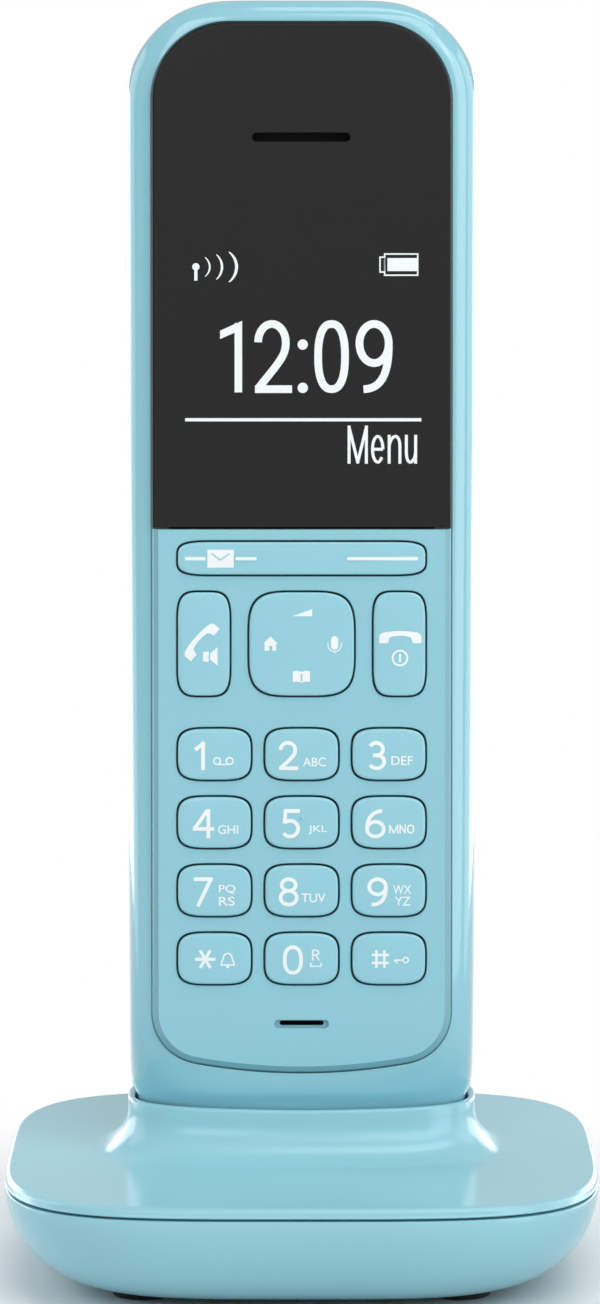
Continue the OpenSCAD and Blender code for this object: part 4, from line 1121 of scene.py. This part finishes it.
def sectionPoint(a, z, out):
    # A point of the handset's section at a height, moved out
    half, front, middle, back = section(z, 0)
    behind = math.sin(a) >= 0
    n = handset["backPower"] if behind else frontPower(z)
    x, y = raised(math.cos(a), 2 / n), raised(math.sin(a), 2 / n)
    return half * x + out * x, middle + (back - middle if behind else middle - front) * y + out * y


def seatRing(out, height=None, localZ=None, lift=0.0):
    # A ring round the handset's foot, level with the table or at a height along the handset
    c = cradle
    found = []
    for k in range(c["points"]):
        a = math.tau * k / c["points"]
        x, y = sectionPoint(a, c["seatDepth"], out)
        z = localZ
        if localZ is None:
            h = height + lift * c["lift"] * abs(math.cos(a)) ** 0.8
            z = (h - corner.z / mm - y * backAxis.z) / liftAxis.z
        found.append(handsetPlace @ Vector((x, y, z)) / mm)
    return found


def cradleCover():
    c = cradle
    under, lip, half = c["plate"] - c["wall"], c["seam"] - c["lipH"], c["seam"] + c["gap"] / 2
    outer, bore = c["seatGap"] + c["collar"], c["seatGap"] + c["seatWall"]
    rings = [seatRing(bore, localZ=-c["seatFloor"] - c["rest"]), seatRing(bore, under - 1),
             seatRing(bore + 0.8, under), planRing(c["lipIn"] + c["lipT"] + 0.2, under),
             planRing(c["lipIn"] + c["lipT"], lip), planRing(c["lipIn"], lip), planRing(c["lipIn"], half)]
    # edge of the cover: a small round below, a flat band, and a larger round on to the top
    rings += [planRing(0.25, half), planRing(0.08, half + 0.06), planRing(0, half + 0.2),
              planRing(c["edgeIn"], c["plate"] - 1.0)]
    for step in range(1, 9):
        a = math.pi / 2 * step / 8
        inset = c["edgeIn"] + c["edge"] * (1 - math.cos(a))
        rings.append(planRing(inset, c["plate"] - c["edge"] + c["edge"] * math.sin(a)))
    rings += [planRing(3.0, c["plate"]), planRing(8.0, c["plate"])]
    # the flare that rises to the collar, then the collar's round rim
    steps = 14
    for step in range(steps + 1):
        a = math.pi / 2 * step / steps
        rise = c["flare"] * (1 - math.cos(a))
        rings.append(seatRing(outer + c["flare"] * (1 - math.sin(a)), c["plate"] + rise,
                              lift=rise / (c["rim"] - c["plate"])))
    low = c["rim"] - c["rimRound"]
    rings.append(seatRing(outer, low, lift=1))
    for step in range(1, 8):
        a = math.pi * step / 8
        out = outer - c["collar"] / 2 * (1 - math.cos(a))
        rings.append(seatRing(out, low + c["rimRound"] * math.sin(a), lift=1))
    rings += [seatRing(c["seatGap"], c["rim"] - 0.5, lift=1), seatRing(c["seatGap"], localZ=-c["rest"])]
    cover = loftPiece("cradle_cover", rings, cradlePlace, "cradle", 50)
    cut = bmesh.new()
    halfX, halfY = c["slotHalf"]
    for x in (-c["slotX"], c["slotX"]):
        boxMesh(cut, x - halfX, x + halfX, c["slotY"] - halfY, c["slotY"] + halfY, *c["slotZ"])
    carve(cover, cut, handsetPlace, 50)
    return settle(cover, "cradle", "cradle_blue", "cradle_top_cover")


def corners(x, y):
    return [(x * signX, y * signY) for signX in (-1, 1) for signY in (-1, 1)]


def cradleShell():
    c = cradle
    high = c["seam"] - c["gap"] / 2

    def bowl(turn, foot, inset):
        a = math.radians(turn)
        return planRing(inset + c["inset"] * (1 - math.cos(a)), high - (high - foot) * math.sin(a))

    turns = [90, 86, 82, *range(78, 7, -5), 4]
    rings = [planRing(c["middle"], c["base"])]
    rings += [bowl(t, c["base"], 0) for t in turns]
    rings += [planRing(0, high - 0.12), planRing(0.04, high - 0.03), planRing(0.14, high),
              planRing(c["wall"], high)]
    rings += [bowl(t, c["base"] + c["wall"], c["wall"]) for t in reversed(turns[::3])]
    shell = loftPiece("cradle_bowl", rings, cradlePlace, "cradle", 50)
    cut = bmesh.new()
    for cx, cy, r, top in (c["screw"], c["foot"]):
        for x, y in corners(cx, cy):
            pin(cut, r, top + 1, Matrix.Translation((x, y, (top - 1) / 2)), 40)
    boxMesh(cut, *c["plug"])
    carve(shell, cut, cradlePlace, 50)
    return settle(shell, "cradle", "cradle_blue", "cradle_bottom_shell")


def feet():
    bm = bmesh.new()
    cx, cy, r, _ = cradle["foot"]
    high, soft = cradle["footHeight"], cradle["footRound"]
    for x, y in corners(cx, cy):
        made = bmesh.ops.create_cone(bm, cap_ends=True, segments=48, radius1=r - soft,
                                     radius2=r - cradle["footGap"], depth=high)["verts"]
        bmesh.ops.translate(bm, verts=made, vec=(x, y, high / 2))
        rim = {e for v in made for e in v.link_edges if all(p.co.z < 0.01 for p in e.verts)}
        bmesh.ops.bevel(bm, geom=list(rim), offset=soft, segments=3, profile=0.5, affect="EDGES", material=-1)
    return settle(link("feet", bm, cradlePlace, "rubber"), "cradle", "foot_rubber", "rubber_feet")


frontHousing()
rearHousing()
batteryCover()
displayWindow()
keypadPanel()
print("stage: handset shells")
for keyName in keyPlaces:
    makeKey(keyName)
displayPicture()
print("stage: keys and print")
cradleCover()
cradleShell()
feet()
print("stage: cradle")

# The inner pieces keep the solids' forms; each finish with the nodes that take it
nodeFinish = {
    "screen": "display_module", "silicone": "keypad_mat", "board": "main_board cradle_board",
    "white": "backlight_frame navigation_pivot contact_carrier",
    "black": "earpiece_speaker ringer_speaker microphone microphone_boot power_socket",
    "steel": "snap_domes shield_can battery_contacts handset_screws cradle_screws",
    "gold": "antenna charge_pads charge_contact_left charge_contact_right",
    "cell": "battery_cell_left battery_cell_right",
}
for finish, nodeNames in nodeFinish.items():
    for nodeName in nodeNames.split():
        node = frame["nodes"][nodeName]
        node.data.materials.clear()
        node.data.materials.append(finishes[finish])
print("stage: inner pieces")


studio = {
    "distance": 0.7558,      # camera to the handset's front
    "pitch": 6.391,
    "lens": 153.8,
    "target": (-0.00022, -0.0045, 0.08501),
    "world": 0.27,           # strength of the light from all round
    "worldGloss": 0.6,       # how bright it looks in glossy faces
    "floorSize": 3.0,
    "floorColour": (0.86, 0.87, 0.88, 1),
    "fadeFrom": 0.045,       # the floor turns to plain white between these distances
    "fadeTo": 0.12,
    # name: place, aim, width, height, brightness of its face, and what it lights
    "boxes": {
        "keyBox": ((0.45, -0.95, 0.9), (0, 0, 0.08), 0.9, 0.6, 2.4, "all"),
        "frontBox": ((-0.35, -1.2, 0.7), (0, 0, 0.08), 0.6, 0.4, 2.6, "all"),
        "rightBox": ((0.75, -0.6, 0.25), (0, 0, 0.1), 0.45, 0.8, 2.3, "all"),
        "topBox": ((0.1, -0.32, 0.95), (0, 0, 0.08), 0.7, 0.5, 2.8, "soft"),
        "backBox": ((0, 1.1, 0.75), (0, 0, 0.08), 1.4, 0.9, 1.8, "soft"),
        "crescentBox": ((0.36, -0.2, 0.95), (0.36, -0.2, 0), 0.75, 0.32, 2.6, "gloss"),
        "rightSide": ((0.38, 0.06, 0.18), (0, 0, 0.1), 0.32, 0.36, 1.6, "gloss"),
        "leftSide": ((-0.38, 0.08, 0.18), (0, 0, 0.1), 0.3, 0.36, 1.6, "all"),
        "rightRim": ((0.29, 0.3, 0.1), (0, 0, 0.1), 0.42, 0.2, 3.2, "gloss"),
        "leftRim": ((-0.29, 0.3, 0.1), (0, 0, 0.1), 0.42, 0.2, 3.2, "gloss"),
    },
}


def softBox(name, place, aim, width, height, bright, lights):
    data = bpy.data.lights.new(name, "AREA")
    data.shape = "RECTANGLE"
    data.size, data.size_y = width, height
    data.energy = bright * math.pi * width * height
    lamp = addObject(name, data)
    lamp.visible_diffuse = lights != "gloss"
    lamp.visible_glossy = lights != "soft"
    lamp.location = place
    lamp.rotation_euler = (Vector(aim) - Vector(place)).to_track_quat("-Z", "Y").to_euler()


def seenRays(tree):
    # 1 for rays that show the background: straight from the camera, by gloss or through glass
    path = addNode(tree, "LightPath", {}).outputs
    total = maths(tree, "ADD", path["Is Camera Ray"], path["Is Glossy Ray"])
    return maths(tree, "MINIMUM", maths(tree, "ADD", total, path["Is Transmission Ray"]), 1.0)


def mixShader(tree, share, a, b, output):
    mix = addNode(tree, "MixShader", {0: share, 1: a.outputs[0], 2: b.outputs[0]})
    feed(tree, tree.nodes[output], {"Surface": mix.outputs[0]})


def makeFloor():
    s = studio
    bm = bmesh.new()
    bmesh.ops.create_grid(bm, x_segments=1, y_segments=1, size=s["floorSize"])
    m = bpy.data.materials.new("paleFloor")
    m.use_nodes = True
    tree = m.node_tree
    shader = tree.nodes["Principled BSDF"]
    feed(tree, shader, {"Base Color": s["floorColour"], "Roughness": 0.9, "Specular IOR Level": 0.1})
    length = addNode(tree, "VectorMath", {0: addNode(tree, "TexCoord", {}).outputs["Object"]})
    length.operation = "LENGTH"
    fade = addNode(tree, "MapRange", {"From Min": s["fadeFrom"], "From Max": s["fadeTo"],
                                      "Value": length.outputs["Value"]})
    fade.interpolation_type = "SMOOTHSTEP"
    share = maths(tree, "MULTIPLY", fade.outputs["Result"], seenRays(tree))
    mixShader(tree, share, shader, addNode(tree, "Emission", {}), "Material Output")
    meshObject("floor", bm, m)


def makeWorld():
    world = bpy.data.worlds.new("studio")
    bpy.context.scene.world = world
    world.use_nodes = True
    tree = world.node_tree
    path = addNode(tree, "LightPath", {}).outputs
    more = studio["worldGloss"] - studio["world"]
    lit = tree.nodes["Background"]
    feed(tree, lit, {"Color": (1, 1, 1, 1), "Strength": maths(tree, "MULTIPLY_ADD", path["Is Glossy Ray"],
                                                              more, studio["world"])})
    seen = maths(tree, "MAXIMUM", path["Is Camera Ray"], path["Is Transmission Ray"])
    mixShader(tree, seen, lit, addNode(tree, "Background", {"Color": (1, 1, 1, 1)}), "World Output")


def makeStudio():
    s = studio
    target = Vector(s["target"])
    pitch = math.radians(s["pitch"])
    camera = addObject("camera", bpy.data.cameras.new("camera"))
    camera.data.lens = s["lens"]
    camera.data.sensor_width = 36
    camera.data.clip_start = 0.01
    camera.location = target + s["distance"] * Vector((0, -math.cos(pitch), math.sin(pitch)))
    camera.rotation_euler = (target - camera.location).to_track_quat("-Z", "Y").to_euler()
    bpy.context.scene.camera = camera
    bpy.context.scene.view_settings.view_transform = "Standard"
    makeFloor()
    makeWorld()
    for name, values in s["boxes"].items():
        softBox(name, *values)


makeStudio()
print("stage: studio")
